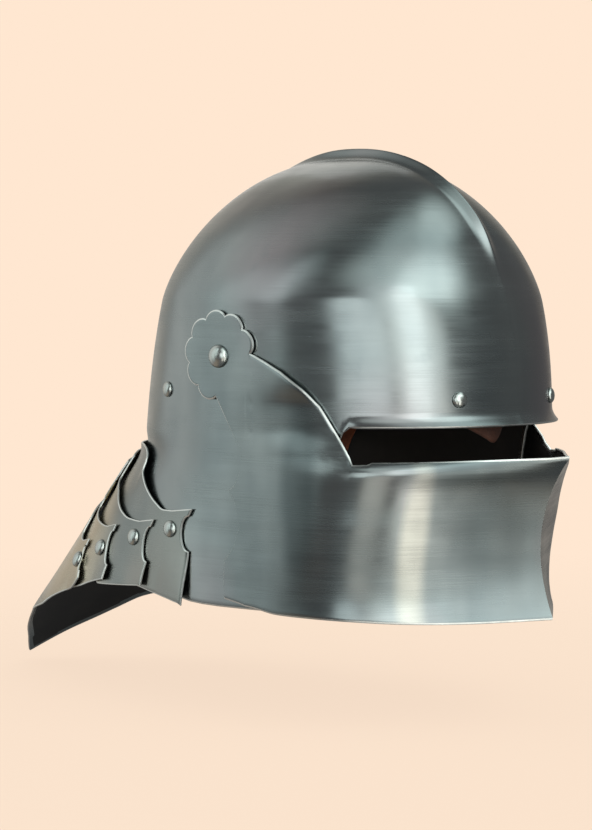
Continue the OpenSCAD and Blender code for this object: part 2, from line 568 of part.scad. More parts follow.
function flap_grid(off) = [for (v = [0, 0.5, 1]) [for (i = [0 : 16])
    let(f = i / 16, z = flap_low(f) + (flap_top - flap_low(f)) * v,
        curl = 4 * (1 - v) * ease((0.45 - f) / 0.45))
    lined(-(1.985 - 0.21 * f), z, off + curl)]];
module liner_flap() {
    color([0.34, 0.18, 0.1])
    plate(flap_grid(flap_face), flap_grid(flap_face + leather));
}

// Chin straps, hanging inside from the side rivets
strap_dir = [sin(strap_lean), -cos(strap_lean)];
function strap_yz(l, h) = [side_rivet_back + strap_dir[0] * l - strap_dir[1] * h,
    side_rivet_height + strap_dir[1] * l + strap_dir[0] * h];
function strap_point(l, h, off, m) = let(q = strap_yz(l, h), w = s_beside(q[0], q[1]),
    p = base_point(w, q[1]) - beside_normal(q[0], q[1]) * (off + tuck(w, q[1])))
    [m * p[0], p[1], p[2]];
function strap_grid(length, off, m) = [for (i = [0 : 12]) let(l = length - (length + 6) * i / 12)
    [for (j = [-1, 0, 1]) strap_point(l, -m * j * strap_width / 2, off, m)]];
module strap(length, m) {
    plate(strap_grid(length, flap_face, m), strap_grid(length, flap_face + leather, m));
}
module strap_left() {
    color([0.38, 0.2, 0.1])
    difference() {
        strap(strap_long, 1);
        liner_bore(side_s(), side_rivet_height);
        for (l = [strap_long - 44 : 11 : strap_long - 11]) {
            q = strap_yz(l, 0);
            translate(strap_point(l, 0, flap_face + 1, 1)) point_along(beside_normal(q[0], q[1]))
                cylinder(h = 12, d = 3, center = true, $fn = 20);
        }
    }
}
// The buckle hangs on the right strap: its own X runs along the strap, Y across it and Z into the helmet
buckle_at = strap_point(strap_short, 0, flap_face + leather / 2, -1);
buckle_x = let(v = buckle_at - strap_point(strap_short - 6, 0, flap_face + leather / 2, -1)) v / norm(v);
buckle_z = let(q = strap_yz(strap_short, 0), n = beside_normal(q[0], q[1]), v = [n[0], -n[1], -n[2]],
    u = v - buckle_x * (v * buckle_x)) u / norm(u);
buckle_y = cross(buckle_z, buckle_x);
loop_bore = buckle_wire + 0.3;
buckle_pin = [for (i = [0 : 2]) buckle_at[i] + buckle_x[i] * (loop_bore / 2 + leather - 0.4)];
module in_buckle() {
    multmatrix([for (i = [0 : 2]) [buckle_x[i], buckle_y[i], buckle_z[i], buckle_pin[i]]]) children();
}
module across(d, length) {
    rotate([90, 0, 0]) cylinder(h = length, d = d, center = true, $fn = 24);
}
module strap_right() {
    color([0.38, 0.2, 0.1])
    difference() {
        union() {
            strap(strap_short, -1);
            in_buckle() across(loop_bore + 2 * leather, strap_width);
        }
        liner_bore(-side_s(), side_rivet_height);
        in_buckle() across(loop_bore, strap_width + 4);
        in_buckle() translate([2, 0, 0]) cube([14, 4.4, 12], center = true);
    }
}
buckle_long = 18;
buckle_wide = strap_width + 2 + buckle_wire;
module buckle_frame() {
    color([0.72, 0.6, 0.36])
    in_buckle() union() {
        across(buckle_wire, buckle_wide + buckle_wire);
        translate([buckle_long, 0, 0]) across(buckle_wire, buckle_wide + buckle_wire);
        for (m = [-1, 1])
            translate([0, m * buckle_wide / 2, 0]) rotate([0, 90, 0])
                cylinder(h = buckle_long, d = buckle_wire - 0.4, $fn = 24);
    }
}
eye_bore = buckle_wire + 2 * turn_clearance;
module buckle_prong() {
    reach = buckle_long + 1.6;
    rise = buckle_wire / 2 + 1.05;
    color([0.72, 0.6, 0.36])
    in_buckle() difference() {
        union() {
            across(eye_bore + 1.6, 3.2);
            translate([0, 0, rise - 0.1]) rotate([0, 90, 0]) cylinder(h = reach, d1 = 2, d2 = 1.6, $fn = 20);
        }
        across(eye_bore, 6);
    }
}

skull();
visor();
lame_1();
lame_2();
lame_3();
tail_plate();
pivot_rivet_left();
pivot_rivet_right();
pivot_washer_left();
pivot_washer_right();
brow_rivet_left();
brow_rivet_right();
side_rivet_left();
side_rivet_right();
liner_washers();
lame_1_rivet_left();
lame_1_rivet_right();
lame_2_rivet_left();
lame_2_rivet_right();
lame_3_rivet_left();
lame_3_rivet_right();
tail_rivet_left();
tail_rivet_right();
lame_1_washers();
lame_2_washers();
lame_3_washers();
tail_washers();
liner_band();
liner_crown();
liner_flap();
strap_left();
strap_right();
buckle_frame();
buckle_prong();
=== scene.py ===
# %% [markdown]
# A sallet is a steel helmet that runs down behind into a long tail. This one has a visor on two pivots, four
# tail plates on rivets and a leather liner with a chin strap. The CAD model gives every piece its place. This
# script dresses it. All lengths are in millimetres, as in the CAD source, until a mesh is made.

# %% The frame and a few short helpers
import math

import bmesh
import bpy
import numpy as np
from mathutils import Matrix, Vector
from mathutils.kdtree import KDTree


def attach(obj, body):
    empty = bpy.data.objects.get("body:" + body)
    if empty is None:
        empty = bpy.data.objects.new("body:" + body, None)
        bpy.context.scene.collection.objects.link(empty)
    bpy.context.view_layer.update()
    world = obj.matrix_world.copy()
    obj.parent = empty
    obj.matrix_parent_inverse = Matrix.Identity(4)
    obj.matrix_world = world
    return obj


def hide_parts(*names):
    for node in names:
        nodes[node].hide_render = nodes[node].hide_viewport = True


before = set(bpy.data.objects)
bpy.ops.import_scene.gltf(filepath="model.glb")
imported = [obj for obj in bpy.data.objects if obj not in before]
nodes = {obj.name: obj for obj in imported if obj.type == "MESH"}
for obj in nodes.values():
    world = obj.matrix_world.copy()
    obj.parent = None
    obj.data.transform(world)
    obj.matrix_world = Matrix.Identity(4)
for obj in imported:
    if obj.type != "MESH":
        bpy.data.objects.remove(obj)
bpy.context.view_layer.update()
scene = bpy.context.scene
MM = 0.001


def put_in_scene(obj):
    scene.collection.objects.link(obj)
    return obj


def feed(node, inputs):
    """Gives a node its inputs: a socket is linked, and any other value is set."""
    for name, value in inputs.items():
        if isinstance(value, bpy.types.NodeSocket):
            node.id_data.links.new(value, node.inputs[name])
        else:
            node.inputs[name].default_value = value
    return node


def add_node(tree, kind, inputs=None, **settings):
    node = tree.nodes.new(kind)
    for name, value in settings.items():
        setattr(node, name, value)
    return feed(node, inputs or {})


def maths(tree, operation, first, second=0.0):
    return add_node(tree, "ShaderNodeMath", {0: first, 1: second}, operation=operation).outputs[0]


def remap(tree, value, low, high, new_low, new_high):
    return add_node(tree, "ShaderNodeMapRange", {"Value": value, "From Min": low, "From Max": high,
                    "To Min": new_low, "To Max": new_high}).outputs[0]


def object_place(tree):
    return add_node(tree, "ShaderNodeTexCoord").outputs["Object"]


def length_of(tree, vector):
    return add_node(tree, "ShaderNodeVectorMath", {0: vector}, operation="LENGTH").outputs["Value"]


def oval(tree, place, middle, half_sizes, rim, full=1.0, turn=(0, 0, 0)):
    """The share of a soft-edged oval at each place: none outside its rim, and full inside."""
    local = add_node(tree, "ShaderNodeMapping", {"Vector": place, "Location": middle, "Rotation": turn,
                     "Scale": half_sizes}, vector_type="TEXTURE").outputs[0]
    return add_node(tree, "ShaderNodeMapRange", {"Value": length_of(tree, local), "From Min": rim[0],
                    "From Max": rim[1], "To Max": full}, interpolation_type="SMOOTHSTEP").outputs[0]


def new_material(name):
    material = bpy.data.materials.new(name)
    material.use_nodes = True
    material.node_tree.nodes.clear()
    return material, material.node_tree


def colour(hex_code):
    parts = [int(hex_code[i:i + 2], 16) / 255 for i in (1, 3, 5)]
    return [c / 12.92 if c < 0.04045 else ((c + 0.055) / 1.055) ** 2.4 for c in parts] + [1.0]


# %% [markdown]
# The camera stands in front and to the wearer's right, a little above the rim, and looks down by less than
# three degrees. It is far away and has a long lens, so the shapes look almost flat.

# %% The camera
CAMERA_TURN = math.radians(50)
CAMERA_DROP = math.radians(2.7)
CAMERA_DISTANCE = 1500
CAMERA_SIDE = -32
CAMERA_HEIGHT = 177
SENSOR, FOCAL_PIXELS, PICTURE_TALL = 36, 2500, 830
ahead = Vector((math.sin(CAMERA_TURN), math.cos(CAMERA_TURN), 0))
aside = Vector((math.cos(CAMERA_TURN), -math.sin(CAMERA_TURN), 0))
camera_data = bpy.data.cameras.new("camera")
camera_data.sensor_fit = "VERTICAL"
camera_data.sensor_height = SENSOR
camera_data.lens = FOCAL_PIXELS * SENSOR / PICTURE_TALL
camera = put_in_scene(bpy.data.objects.new("camera", camera_data))
camera.location = (ahead * -CAMERA_DISTANCE + aside * CAMERA_SIDE + Vector((0, 0, CAMERA_HEIGHT))) * MM
look = ahead * math.cos(CAMERA_DROP) - Vector((0, 0, math.sin(CAMERA_DROP)))
camera.rotation_euler = look.to_track_quat("-Z", "Y").to_euler()
scene.camera = camera
scene.view_settings.view_transform = "Standard"
print("camera at", [round(v, 3) for v in camera.location], "lens", round(camera_data.lens, 1))

# %% [markdown]
# Polished steel shows the room more than its own colour. A photographer lights metal with large soft panels
# and keeps the rest of the room dim. In the world below each panel is a soft-edged oval, with angles in
# degrees. The steel sees this room from every side, and only the camera sees the plain pale backdrop.

# %% The room
BACKDROP = "#FFE7D1"
PANELS = [
    # turn, rise, half width, half height, brightness, softness, tint
    (-61, 6, 17, 18, 1.80, 0.30, "#FAFFFD"),
    (-47, 30, 9, 22, 1.35, 0.50, "#FAFFFD"),
    (-24, 15, 20, 29, 2.15, 0.45, "#FAFDF8"),
    (0, 40, 26, 17, 2.50, 0.45, "#F6FFFB"),
    (-28, 53, 26, 17, 1.30, 0.60, "#F6FFFB"),
    (42, 58, 24, 13, 1.40, 0.50, "#F2FFFC"),
    (5, 67, 24, 14, 0.95, 0.60, "#F2FFFC"),
    (-113, 28, 9, 31, 1.30, 0.45, "#F4FFFD"),
    (-135, 15, 14, 40, 1.10, 0.50, "#F8FFFC"),
    (-163, 20, 26, 56, 0.86, 0.50, "#FFFEFA"),
    (145, 12, 42, 38, 0.62, 0.60, "#FFF6EA"),
    (-9, -20, 8, 24, 2.40, 0.25, "#FDF8F0"),
    (-46, -24, 14, 18, 1.15, 0.40, "#FFF6EC"),
    (6, -36, 12, 12, 0.55, 0.60, "#FFF1E2"),
    (-150, -40, 60, 28, 0.40, 0.70, "#FFE9D6"),
]
ROOM_DIM, PANEL_DEPTH = 0.16, 1.2
world = bpy.data.worlds.new("studio")
world.use_nodes = True
scene.world = world
tree = world.node_tree
tree.nodes.clear()
gaze = add_node(tree, "ShaderNodeTexCoord").outputs["Generated"]


def towards(turn, rise):
    """The direction at a compass turn and a rise in degrees."""
    a, b = math.radians(turn), math.radians(rise)
    return Vector((math.sin(a) * math.cos(b), -math.cos(a) * math.cos(b), math.sin(b)))


def panel(light, turn, rise, wide, tall, bright, soft, tint):
    """Adds one soft oval panel to the room's light, wherever it is brighter than what is there."""
    half_sizes = math.sin(math.radians(wide)), PANEL_DEPTH, math.sin(math.radians(tall))
    share = oval(tree, gaze, towards(turn, rise), half_sizes, (1 + soft, 1 - soft),
                 turn=(-math.radians(rise), 0, math.radians(turn)))
    glow = add_node(tree, "ShaderNodeVectorMath", {0: [bright * c for c in colour(tint)[:3]], "Scale": share},
                    operation="SCALE").outputs[0]
    return add_node(tree, "ShaderNodeVectorMath", {0: light, 1: glow}, operation="MAXIMUM").outputs[0]


room = add_node(tree, "ShaderNodeCombineXYZ", dict.fromkeys("XYZ", ROOM_DIM)).outputs[0]
for values in PANELS:
    room = panel(room, *values)
lit = add_node(tree, "ShaderNodeBackground", {"Color": room, "Strength": 1.0})
seen = add_node(tree, "ShaderNodeBackground", {"Color": colour(BACKDROP), "Strength": 1.0})
eye = add_node(tree, "ShaderNodeLightPath").outputs["Is Camera Ray"]
both = add_node(tree, "ShaderNodeMixShader", {0: eye, 1: lit.outputs[0], 2: seen.outputs[0]})
add_node(tree, "ShaderNodeOutputWorld", {"Surface": both.outputs[0]})
print("panels in the room:", len(PANELS))

# %% [markdown]
# Soft boxes stand in the room's bright places, and give the highlights and the leather a clearer shape.

# %% The lamps
LAMP_DISTANCE, LAMP_AIM = 2.2, 0.1


def soft_box(name, turn, rise, width, tall, watts):
    """A rectangular lamp at a compass turn and rise in degrees, facing the middle of the object."""
    data = bpy.data.lights.new(name, "AREA")
    data.shape = "RECTANGLE"
    data.size, data.size_y, data.energy = width, tall, watts
    lamp = put_in_scene(bpy.data.objects.new(name, data))
    lamp.location = towards(turn, rise) * LAMP_DISTANCE + Vector((0, 0, LAMP_AIM))
    lamp.rotation_euler = (-towards(turn, rise)).to_track_quat("-Z", "Y").to_euler()


soft_box("key box", -25, 20, 0.7, 1.6, 3.5)
soft_box("rim box", 130, 30, 0.8, 1.6, 1.5)

# %% [markdown]
# The floor takes the helmet's soft shadow. Its colour runs out into the backdrop, so that no edge shows. The
# steel does not mirror it: low panels of the room do that work.

# %% The floor
FLOOR_DROP = -67
FLOOR_RADIUS, FADE_FROM, FADE_TO, FLOOR_GLOW = 2.2, 0.35, 0.9, 0.88
disc = bmesh.new()
bmesh.ops.create_circle(disc, cap_ends=True, segments=96, radius=FLOOR_RADIUS)
floor_mesh = bpy.data.meshes.new("floor")
disc.to_mesh(floor_mesh)
disc.free()
floor = put_in_scene(bpy.data.objects.new("floor", floor_mesh))
floor.location = (0, 0, FLOOR_DROP * MM)
paper, tree = new_material("floor paper")
fade = remap(tree, length_of(tree, object_place(tree)), FADE_FROM, FADE_TO, 0, 1)
rays = add_node(tree, "ShaderNodeLightPath").outputs
matt = add_node(tree, "ShaderNodeBsdfDiffuse", {"Color": colour("#F6E0CB")})
glow = add_node(tree, "ShaderNodeEmission", {"Color": colour(BACKDROP), "Strength": 1.0})
clear = add_node(tree, "ShaderNodeBsdfTransparent")
share = maths(tree, "MULTIPLY", rays["Is Camera Ray"], FLOOR_GLOW)
surface = add_node(tree, "ShaderNodeMixShader", {0: share, 1: matt.outputs[0], 2: glow.outputs[0]})
away = maths(tree, "MAXIMUM", fade, rays["Is Glossy Ray"])
whole = add_node(tree, "ShaderNodeMixShader", {0: away, 1: surface.outputs[0], 2: clear.outputs[0]})
add_node(tree, "ShaderNodeOutputMaterial", {"Surface": whole.outputs[0]})
floor_mesh.materials.append(paper)
print("floor at", FLOOR_DROP, "mm")

# %% [markdown]
# The plates are mild steel, hammered to shape, ground and then brushed by hand. Brushing leaves very fine
# lines that run round the helmet: noise that changes quickly with height and slowly along the plate.
# Hammering leaves broad shallow waves, which bend the reflections. Rubbed spots break the finish.

# %% Brushed steel
def principled(name, base, **sockets):
    material, tree = new_material(name)
    shader = add_node(tree, "ShaderNodeBsdfPrincipled", {"Base Color": colour(base)} | sockets)
    add_node(tree, "ShaderNodeOutputMaterial", {"Surface": shader.outputs[0]})
    return material, tree, shader


def noise(tree, stretch, detail=2.0, roughness=0.5, turn=(0, 0, 0)):
    """Noise on object coordinates, with a scale for each direction in cycles per metre."""
    spread = add_node(tree, "ShaderNodeMapping", {"Vector": object_place(tree), "Scale": stretch,
                      "Rotation": turn}).outputs[0]
    return add_node(tree, "ShaderNodeTexNoise", {"Vector": spread, "Scale": 1.0, "Detail": detail,
                    "Roughness": roughness}).outputs["Fac"]


def blended(tree, factor, first, second):
    return add_node(tree, "ShaderNodeMix", {"Factor": factor, "A": first, "B": second},
                    data_type="RGBA").outputs["Result"]


def bump(tree, height, strength, distance, under=None, invert=False):
    """A change of the shading by a height, over the change that another bump has made."""
    inputs = {"Height": height, "Strength": strength, "Distance": distance} | ({"Normal": under} if under else {})
    return add_node(tree, "ShaderNodeBump", inputs, invert=invert).outputs[0]


PATCH_RIM = (1.35, 0.5)


def brushed_steel(name, base, dark, warm, roughness, patches=()):
    """A patch is a soft oval of another tone: its middle and half sizes in millimetres, its colour and strength."""
    material, tree, shader = principled(name, base, Metallic=1.0, Roughness=roughness, Anisotropic=0.3)
    lines = noise(tree, (22, 22, 1500))
    slant = noise(tree, (16, 16, 1100), turn=(0.12, -0.1, 0))
    smears = noise(tree, (10, 10, 70), 3.0, 0.6)
    broad = noise(tree, (16, 16, 9), 3.0)
    dabs = noise(tree, (60, 60, 45), 3.0, 0.6)
    tone = blended(tree, remap(tree, broad, 0.35, 0.65, 0, 1), colour(dark), colour(base))
    tone = blended(tree, remap(tree, noise(tree, (11, 11, 7), 1.0), 0.5, 0.7, 0, 0.7), tone, colour(warm))
    tone = blended(tree, remap(tree, dabs, 0.62, 0.75, 0, 0.3), tone, colour(dark))
    for middle, half_sizes, tint, strength in patches:
        share = oval(tree, object_place(tree), np.multiply(middle, MM), np.multiply(half_sizes, MM), PATCH_RIM,
                     strength)
        tone = blended(tree, share, tone, colour(tint))
    worn = maths(tree, "ADD", remap(tree, smears, 0.3, 0.7, -0.05, 0.05),
                 remap(tree, broad, 0.3, 0.7, roughness + 0.04, roughness - 0.04))
    drawn = bump(tree, maths(tree, "ADD", lines, slant), 0.06, 0.0002)
    along = add_node(tree, "ShaderNodeTangent", direction_type="RADIAL", axis="Z").outputs[0]
    feed(shader, {"Base Color": tone, "Tangent": along,
                  "Roughness": maths(tree, "ADD", worn, remap(tree, lines, 0.3, 0.7, -0.02, 0.03)),
                  "Normal": bump(tree, noise(tree, (34, 34, 13), 1.0), 0.3, 0.0015, drawn)})
    return material


DARKER_SPOT, PAINTED_BACKDROP_REFLECTION = "#4A5557", "#C9BFA8"
steel = brushed_steel("hand-brushed mild steel", "#949C9C", "#7C8688", "#969093", 0.24)
# On the visor, the light oval at the near front corner is a painted highlight; the other ovals are darker spots at
# given places.
visor_steel = brushed_steel("brushed steel of the visor", "#8F9797", "#788284", "#928C90", 0.25, [
    ((-105, -48, 72), (14, 12, 60), DARKER_SPOT, 0.5), ((-24, -128, 44), (26, 40, 27), DARKER_SPOT, 0.5),
    ((-45, -120, 82), (50, 60, 11), DARKER_SPOT, 0.5), ((-70, -104, 30), (8, 16, 62), "#D2D1C4", 0.4)])
# The broad peach oval on the tail plates is a painted reflection of the pale backdrop.
tail_steel = brushed_steel("brushed steel of the tail plates", "#8F9592", "#788080", "#9A948C", 0.27, [
    ((-70, 156, 40), (60, 50, 70), PAINTED_BACKDROP_REFLECTION, 0.9)])
# The filed edge is lighter than the plates: partly bright filed steel, partly a painted highlight along every edge.
filed_edge_and_highlight, tree, shader = principled("filed steel edge and painted highlight", "#D6DAD7", Metallic=1.0, Roughness=0.38)
feed(shader, {"Roughness": remap(tree, noise(tree, (300, 300, 300)), 0.3, 0.7, 0.3, 0.46)})
# The inside is near black: blackening of the steel, and painted shade inside the helmet.
blacking_and_painted_shade, tree, shader = principled("blackened inside of the plates and painted shade", "#171716", Roughness=0.6)
soot = remap(tree, noise(tree, (60, 60, 60), 3.0), 0.35, 0.7, 0, 1)
feed(shader, {"Base Color": blended(tree, soot, colour("#0A0A09"), colour("#171614"))})
print("steel material:", steel.name)

# %% [markdown]
# The CAD source gives the skull as a rule: an outline for each height, with one fullness in front and another
# behind. It is repeated here on whole arrays of points, so the plate is smooth where the CAD plate has facets.

# %% The rule of the skull's shape
HALF_WIDTH, FRONT, BACK, DOME = 105.0, 123.8, 132.6, 259.6
SHOULDER, BROW, FLANGE, PLATE = 175.0, 105.2, 4.0, 1.6
COMB_CROWN, COMB_END, COMB_HALF = 7.0, 4.2, 9.0
TAIL_SLOPE, FLARE, NAPE = 0.68, 84.6, 1.2
FRONT_FULLNESS = 2.2


def ease(t):
    t = np.clip(t, 0, 1)
    return t * t * (3 - 2 * t)


def arch(z, start, power):
    return (1 - np.clip((z - start) / (DOME - start), 0, 1) ** power) ** (1 / power)


def half_width(z):
    return HALF_WIDTH * arch(z, SHOULDER, 1.54)


def front_reach(z):
    return FRONT * arch(z, 99, 2.42)


def back_reach(z):
    d = np.maximum(0, FLARE - z)
    return BACK * arch(z, -4.5, 2.62) + TAIL_SLOPE * (np.sqrt(d * d + 7) - math.sqrt(7)) + 0.0017 * d * d \
        + NAPE * ease((z - 38) / 16) * ease((80 - z) / 16)


def back_centre(z):
    return 12 * ease((95 - z) / 90)


def fullness(z):
    return 2.2 + 0.3 * ease((95 - z) / 90) - 0.3 * ease((-10 - z) / 60)


def base_point(s, z):
    """A point on the outline: s is 0 at the middle of the back, 1 at the ear, 2 at the middle of the brow."""
    s, z = np.broadcast_arrays(np.asarray(s, float), np.asarray(z, float))
    w = np.abs(s)
    rear = w <= 1
    power = 2 / np.where(rear, fullness(z), FRONT_FULLNESS)
    t = np.radians(90 * np.where(rear, w, 2 - w))
    sine, cosine = np.clip(np.sin(t), 0, 1) ** power, np.clip(np.cos(t), 0, 1) ** power
    c = back_centre(z)
    y = np.where(rear, c + (back_reach(z) - c) * cosine, -front_reach(z) * cosine)
    return np.stack([np.sign(s) * half_width(z) * sine, y, z], -1)


def base_normal(p):
    def stand(q):
        x, y, z = q[..., 0], q[..., 1], q[..., 2]
        c = back_centre(z)
        rear = y > c
        n = np.where(rear, fullness(z), FRONT_FULLNESS)
        depth = np.where(rear, (y - c) / np.maximum(back_reach(z) - c, 1e-6),
                         np.minimum(0, y) / np.maximum(front_reach(z), 1e-6))
        return (np.abs(x) / np.maximum(half_width(z), 1e-6)) ** n + np.abs(depth) ** n
    steps = 0.05 * np.eye(3)
    slope = np.stack([stand(p + step) - stand(p - step) for step in steps], -1)
    return slope / np.maximum(np.linalg.norm(slope, axis=-1, keepdims=True), 1e-12)


def s_beside(y, z):
    """Where on the outline a point at depth y is."""
    def turn(depth, power):
        return np.degrees(np.arccos(np.clip(np.maximum(depth, 0) ** power, 0, 1))) / 90

    y, z = np.broadcast_arrays(np.asarray(y, float), np.asarray(z, float))
    c = back_centre(z)
    rear = turn((y - c) / (back_reach(z) - c), fullness(z) / 2)
    front = 2 - turn(-y / front_reach(z), FRONT_FULLNESS / 2)
    return np.where(y > c, rear, np.where(y > 0, 1, front))


def smooth_table(x, table):
    """A smooth curve through a table's points that never swings past them."""
    px, py = np.array(table, float).T
    steps = np.diff(px)
    slopes = np.diff(py) / steps
    tangents = np.concatenate([[slopes[0]], np.where(slopes[:-1] * slopes[1:] > 0,
                2 * slopes[:-1] * slopes[1:] / np.where(slopes[:-1] + slopes[1:] == 0, 1, slopes[:-1] + slopes[1:]),
                0), [slopes[-1]]])
    x = np.clip(x, px[0], px[-1])
    i = np.clip(np.searchsorted(px, x) - 1, 0, len(px) - 2)
    h = steps[i]
    t = (x - px[i]) / h
    return ((1 + 2 * t) * (1 - t) ** 2 * py[i] + t * (1 - t) ** 2 * h * tangents[i]
            + t * t * (3 - 2 * t) * py[i + 1] + t * t * (t - 1) * h * tangents[i + 1])


print("width at the ears", 2 * float(half_width(120)), "mm")

# %% [markdown]
# A plate starts as one curved sheet of points. Its wall is a copy moved inwards by the plate's thickness, and
# three more rows of points swing round the cut edge, filed round. Their bright colour is partly filed steel and
# partly a painted highlight. The inside is black, partly blacking and partly painted shade, but bright for a few
# millimetres near the edge. Bevel would fold over itself in the tight corners.

# %% From rows of points to a finished plate
def mesh_from(name, points, faces):
    mesh = bpy.data.meshes.new(name)
    mesh.from_pydata((np.asarray(points) * MM).tolist(), [], [list(map(int, f)) for f in faces])
    mesh.update()
    return put_in_scene(bpy.data.objects.new(name, mesh))


def grid_faces(rows, columns, around=False):
    r, c = np.meshgrid(np.arange(rows - 1), np.arange(columns if around else columns - 1), indexing="ij")
    a = r * columns + c
    b = r * columns + (c + 1) % columns
    return np.stack([a, b, b + columns, a + columns], -1).reshape(-1, 4)


def outward_faces(points, faces):
    """The same faces, turned so that on the whole they look away from the middle of the head."""
    corners = points[faces]
    looks = np.cross(corners[:, 1] - corners[:, 0], corners[:, 2] - corners[:, 0])
    away = corners.mean(1) - [0, 20, 60]
    return faces if (looks * away).sum() > 0 else faces[:, ::-1]


def sheet_mesh(name, grid, around=False):
    points = np.asarray(grid).reshape(-1, 3)
    return mesh_from(name, points, outward_faces(points, grid_faces(*np.shape(grid)[:2], around)))


DRAWN_IN, ROUND_EDGE = 0.35, [(0.3, 0.2), (0.65, 0.25), (0.95, 0.05)]
BRIGHT_RIM, SHARP_ANGLE = 3.0, 42


def give_thickness(mesh, thickness):
    """Also tells which of the inner faces lie near an edge, and how many faces come before the walls."""
    work = bmesh.new()
    work.from_mesh(mesh)
    bmesh.ops.remove_doubles(work, verts=work.verts, dist=0.00002)
    work.normal_update()
    work.verts.index_update()
    points = np.array([v.co for v in work.verts])
    inwards = -np.array([v.normal for v in work.verts]) * thickness
    faces = [[v.index for v in f.verts] for f in work.faces]
    border, out, room = [], {}, {}
    for face in work.faces:
        for loop in face.loops:
            if len(loop.edge.link_faces) == 1:
                a, b = loop.vert, loop.link_loop_next.vert
                border.append((a.index, b.index))
                side = (b.co - a.co).normalized().cross(face.normal)
                for v in (a, b):
                    out[v.index] = out.get(v.index, Vector()) + side
                    room[v.index] = min([e.calc_length() for e in v.link_edges if not e.is_boundary], default=thickness)
    work.free()
    count = len(points)
    rings = list(out)
    ring_out = np.array([out[i].normalized() for i in rings])
    fold = {v: i for i, v in enumerate(rings)}
    starts, ends = np.array([(fold[a], fold[b]) for a, b in border]).T
    for _ in range(2):
        spread = ring_out.copy()
        np.add.at(spread, starts, 0.5 * ring_out[ends])
        np.add.at(spread, ends, 0.5 * ring_out[starts])
        ring_out = spread / np.linalg.norm(spread, axis=1, keepdims=True)
    drawn_in = np.minimum(DRAWN_IN * thickness, [0.45 * room[i] for i in rings])
    borders = points[rings].copy()
    points[rings] -= ring_out * drawn_in[:, None]
    ring_out *= thickness
    layers = [points, points + inwards] + [borders + inwards[rings] * d + ring_out * o for d, o in ROUND_EDGE]
    levels = [lambda v: v] + [lambda v, k=k: 2 * count + k * len(rings) + fold[v] for k in range(3)] \
        + [lambda v: count + v]
    walls = [(upper(b), upper(a), lower(a), lower(b)) for a, b in border for upper, lower in zip(levels, levels[1:])]
    inner = [[count + i for i in reversed(f)] for f in faces]
    made = bpy.data.meshes.new(mesh.name)
    made.from_pydata(np.vstack(layers).tolist(), [], faces + inner + walls)
    made.update()
    edge_tree = KDTree(len(rings))
    for i in rings:
        edge_tree.insert(points[i], i)
    edge_tree.balance()
    return made, [edge_tree.find(points[f].mean(0))[2] < BRIGHT_RIM * MM for f in faces]


def finish_piece(obj, thickness, material, body, replaced, inside=None):
    """Gives a piece its wall, its materials and its place in the part, and prints how many triangles it has."""
    if thickness:
        obj.data, near_edge = give_thickness(obj.data, thickness * MM)
    for polygon in obj.data.polygons:
        polygon.use_smooth = True
    obj.data.set_sharp_from_angle(angle=math.radians(SHARP_ANGLE))
    obj.data.materials.clear()
    # The inside gets the blackened material, which is partly painted shade, and the rim gets the filed edge, which is
    # partly a painted highlight.
    for look in [material] + ([inside, filed_edge_and_highlight] if inside else []):
        obj.data.materials.append(look)
    if inside:
        walls = [2] * (len(obj.data.polygons) - 2 * len(near_edge))
        slots = [0] * len(near_edge) + [0 if near else 1 for near in near_edge] + walls
        obj.data.polygons.foreach_set("material_index", slots)
    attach(obj, body)
    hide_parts(*replaced)
    print(obj.name, "triangles:", sum(len(p.vertices) - 2 for p in obj.data.polygons))


# %% [markdown]
# The skull plate: rows of points climb from the lower edge to the crown. A narrow comb runs over the top,
# the brow edge turns out a little, and the sides draw in under the first tail plate.

# %% The skull
SKULL_LOW = [[0, 78], [0.3, 78], [0.41, 74], [0.5, 64], [0.6, 56], [0.72, 47], [0.79, 43], [0.81, 36],
             [0.835, 22], [0.87, 8], [0.95, 1.3], [0.99, 0], [1.16, 0], [1.19, 12], [1.246, 40], [1.292, 70],
             [1.323, 90], [1.335, 100], [1.37, BROW]]
COLUMNS = np.arange(0, 56, 0.25)
SKIRT_LEVEL, DOME_FOOT = 110.0, 120


def comb_rise(x, y, z):
    k = np.maximum(0, 1 - np.sqrt(x * x + 0.6) / COMB_HALF)
    height = COMB_END + (COMB_CROWN - COMB_END) * np.cos(np.radians(np.minimum(90, np.abs(y) * 0.9))) ** 2
    return height * k * k * np.where(y > 0, ease((z - 96) / 24) * (1 - 0.7 * ease(y / 70)),
                                     1 - 0.85 * ease((222 - z) / 32))


def tuck(w, z):
    return 1.6 * ease((99 - z) / 12) * ease((0.8 - w) / 0.2)


def skull_point(s, z):
    p = base_point(s, z)
    v = base_normal(p)
    w, z = np.abs(s), p[..., 2]
    flat = v * [1, 1, 0]
    flat /= np.maximum(np.linalg.norm(flat, axis=-1, keepdims=True), 1e-9)
    v = np.where((z < 0.001)[..., None], flat, v)
    level = ease((z - 249) / 9)[..., None]
    v = v * (1 - level) + [0, 0, 1] * level
    turned = FLANGE * np.clip((BROW + 7.5 - z) / 8, 0, 1) ** 2 * ease((w - 1.35) / 0.04)
    return p + v * (comb_rise(p[..., 0], p[..., 1], z) + turned - tuck(w, z))[..., None]


def loop_s(z):
    """Columns round the skull, close together across the comb: 14 of the CAD's columns to a quarter."""
    def quarter(k, n):
        h = half_width(z)
        k3 = np.minimum(k, 3)
        edge = np.degrees(np.arcsin((np.minimum(k3 * COMB_HALF / 3, h * 0.12 * k3) / h) ** (n / 2))) / 90
        return np.where(k <= 3, edge, edge + (1 - edge) * (k - 3) / 11)
    c = np.abs(np.where(COLUMNS > 28, COLUMNS - 56, COLUMNS))
    s = np.where(c <= 14, quarter(c, fullness(z)), 2 - quarter(28 - c, FRONT_FULLNESS))
    return np.where(COLUMNS > 28, -s, s)


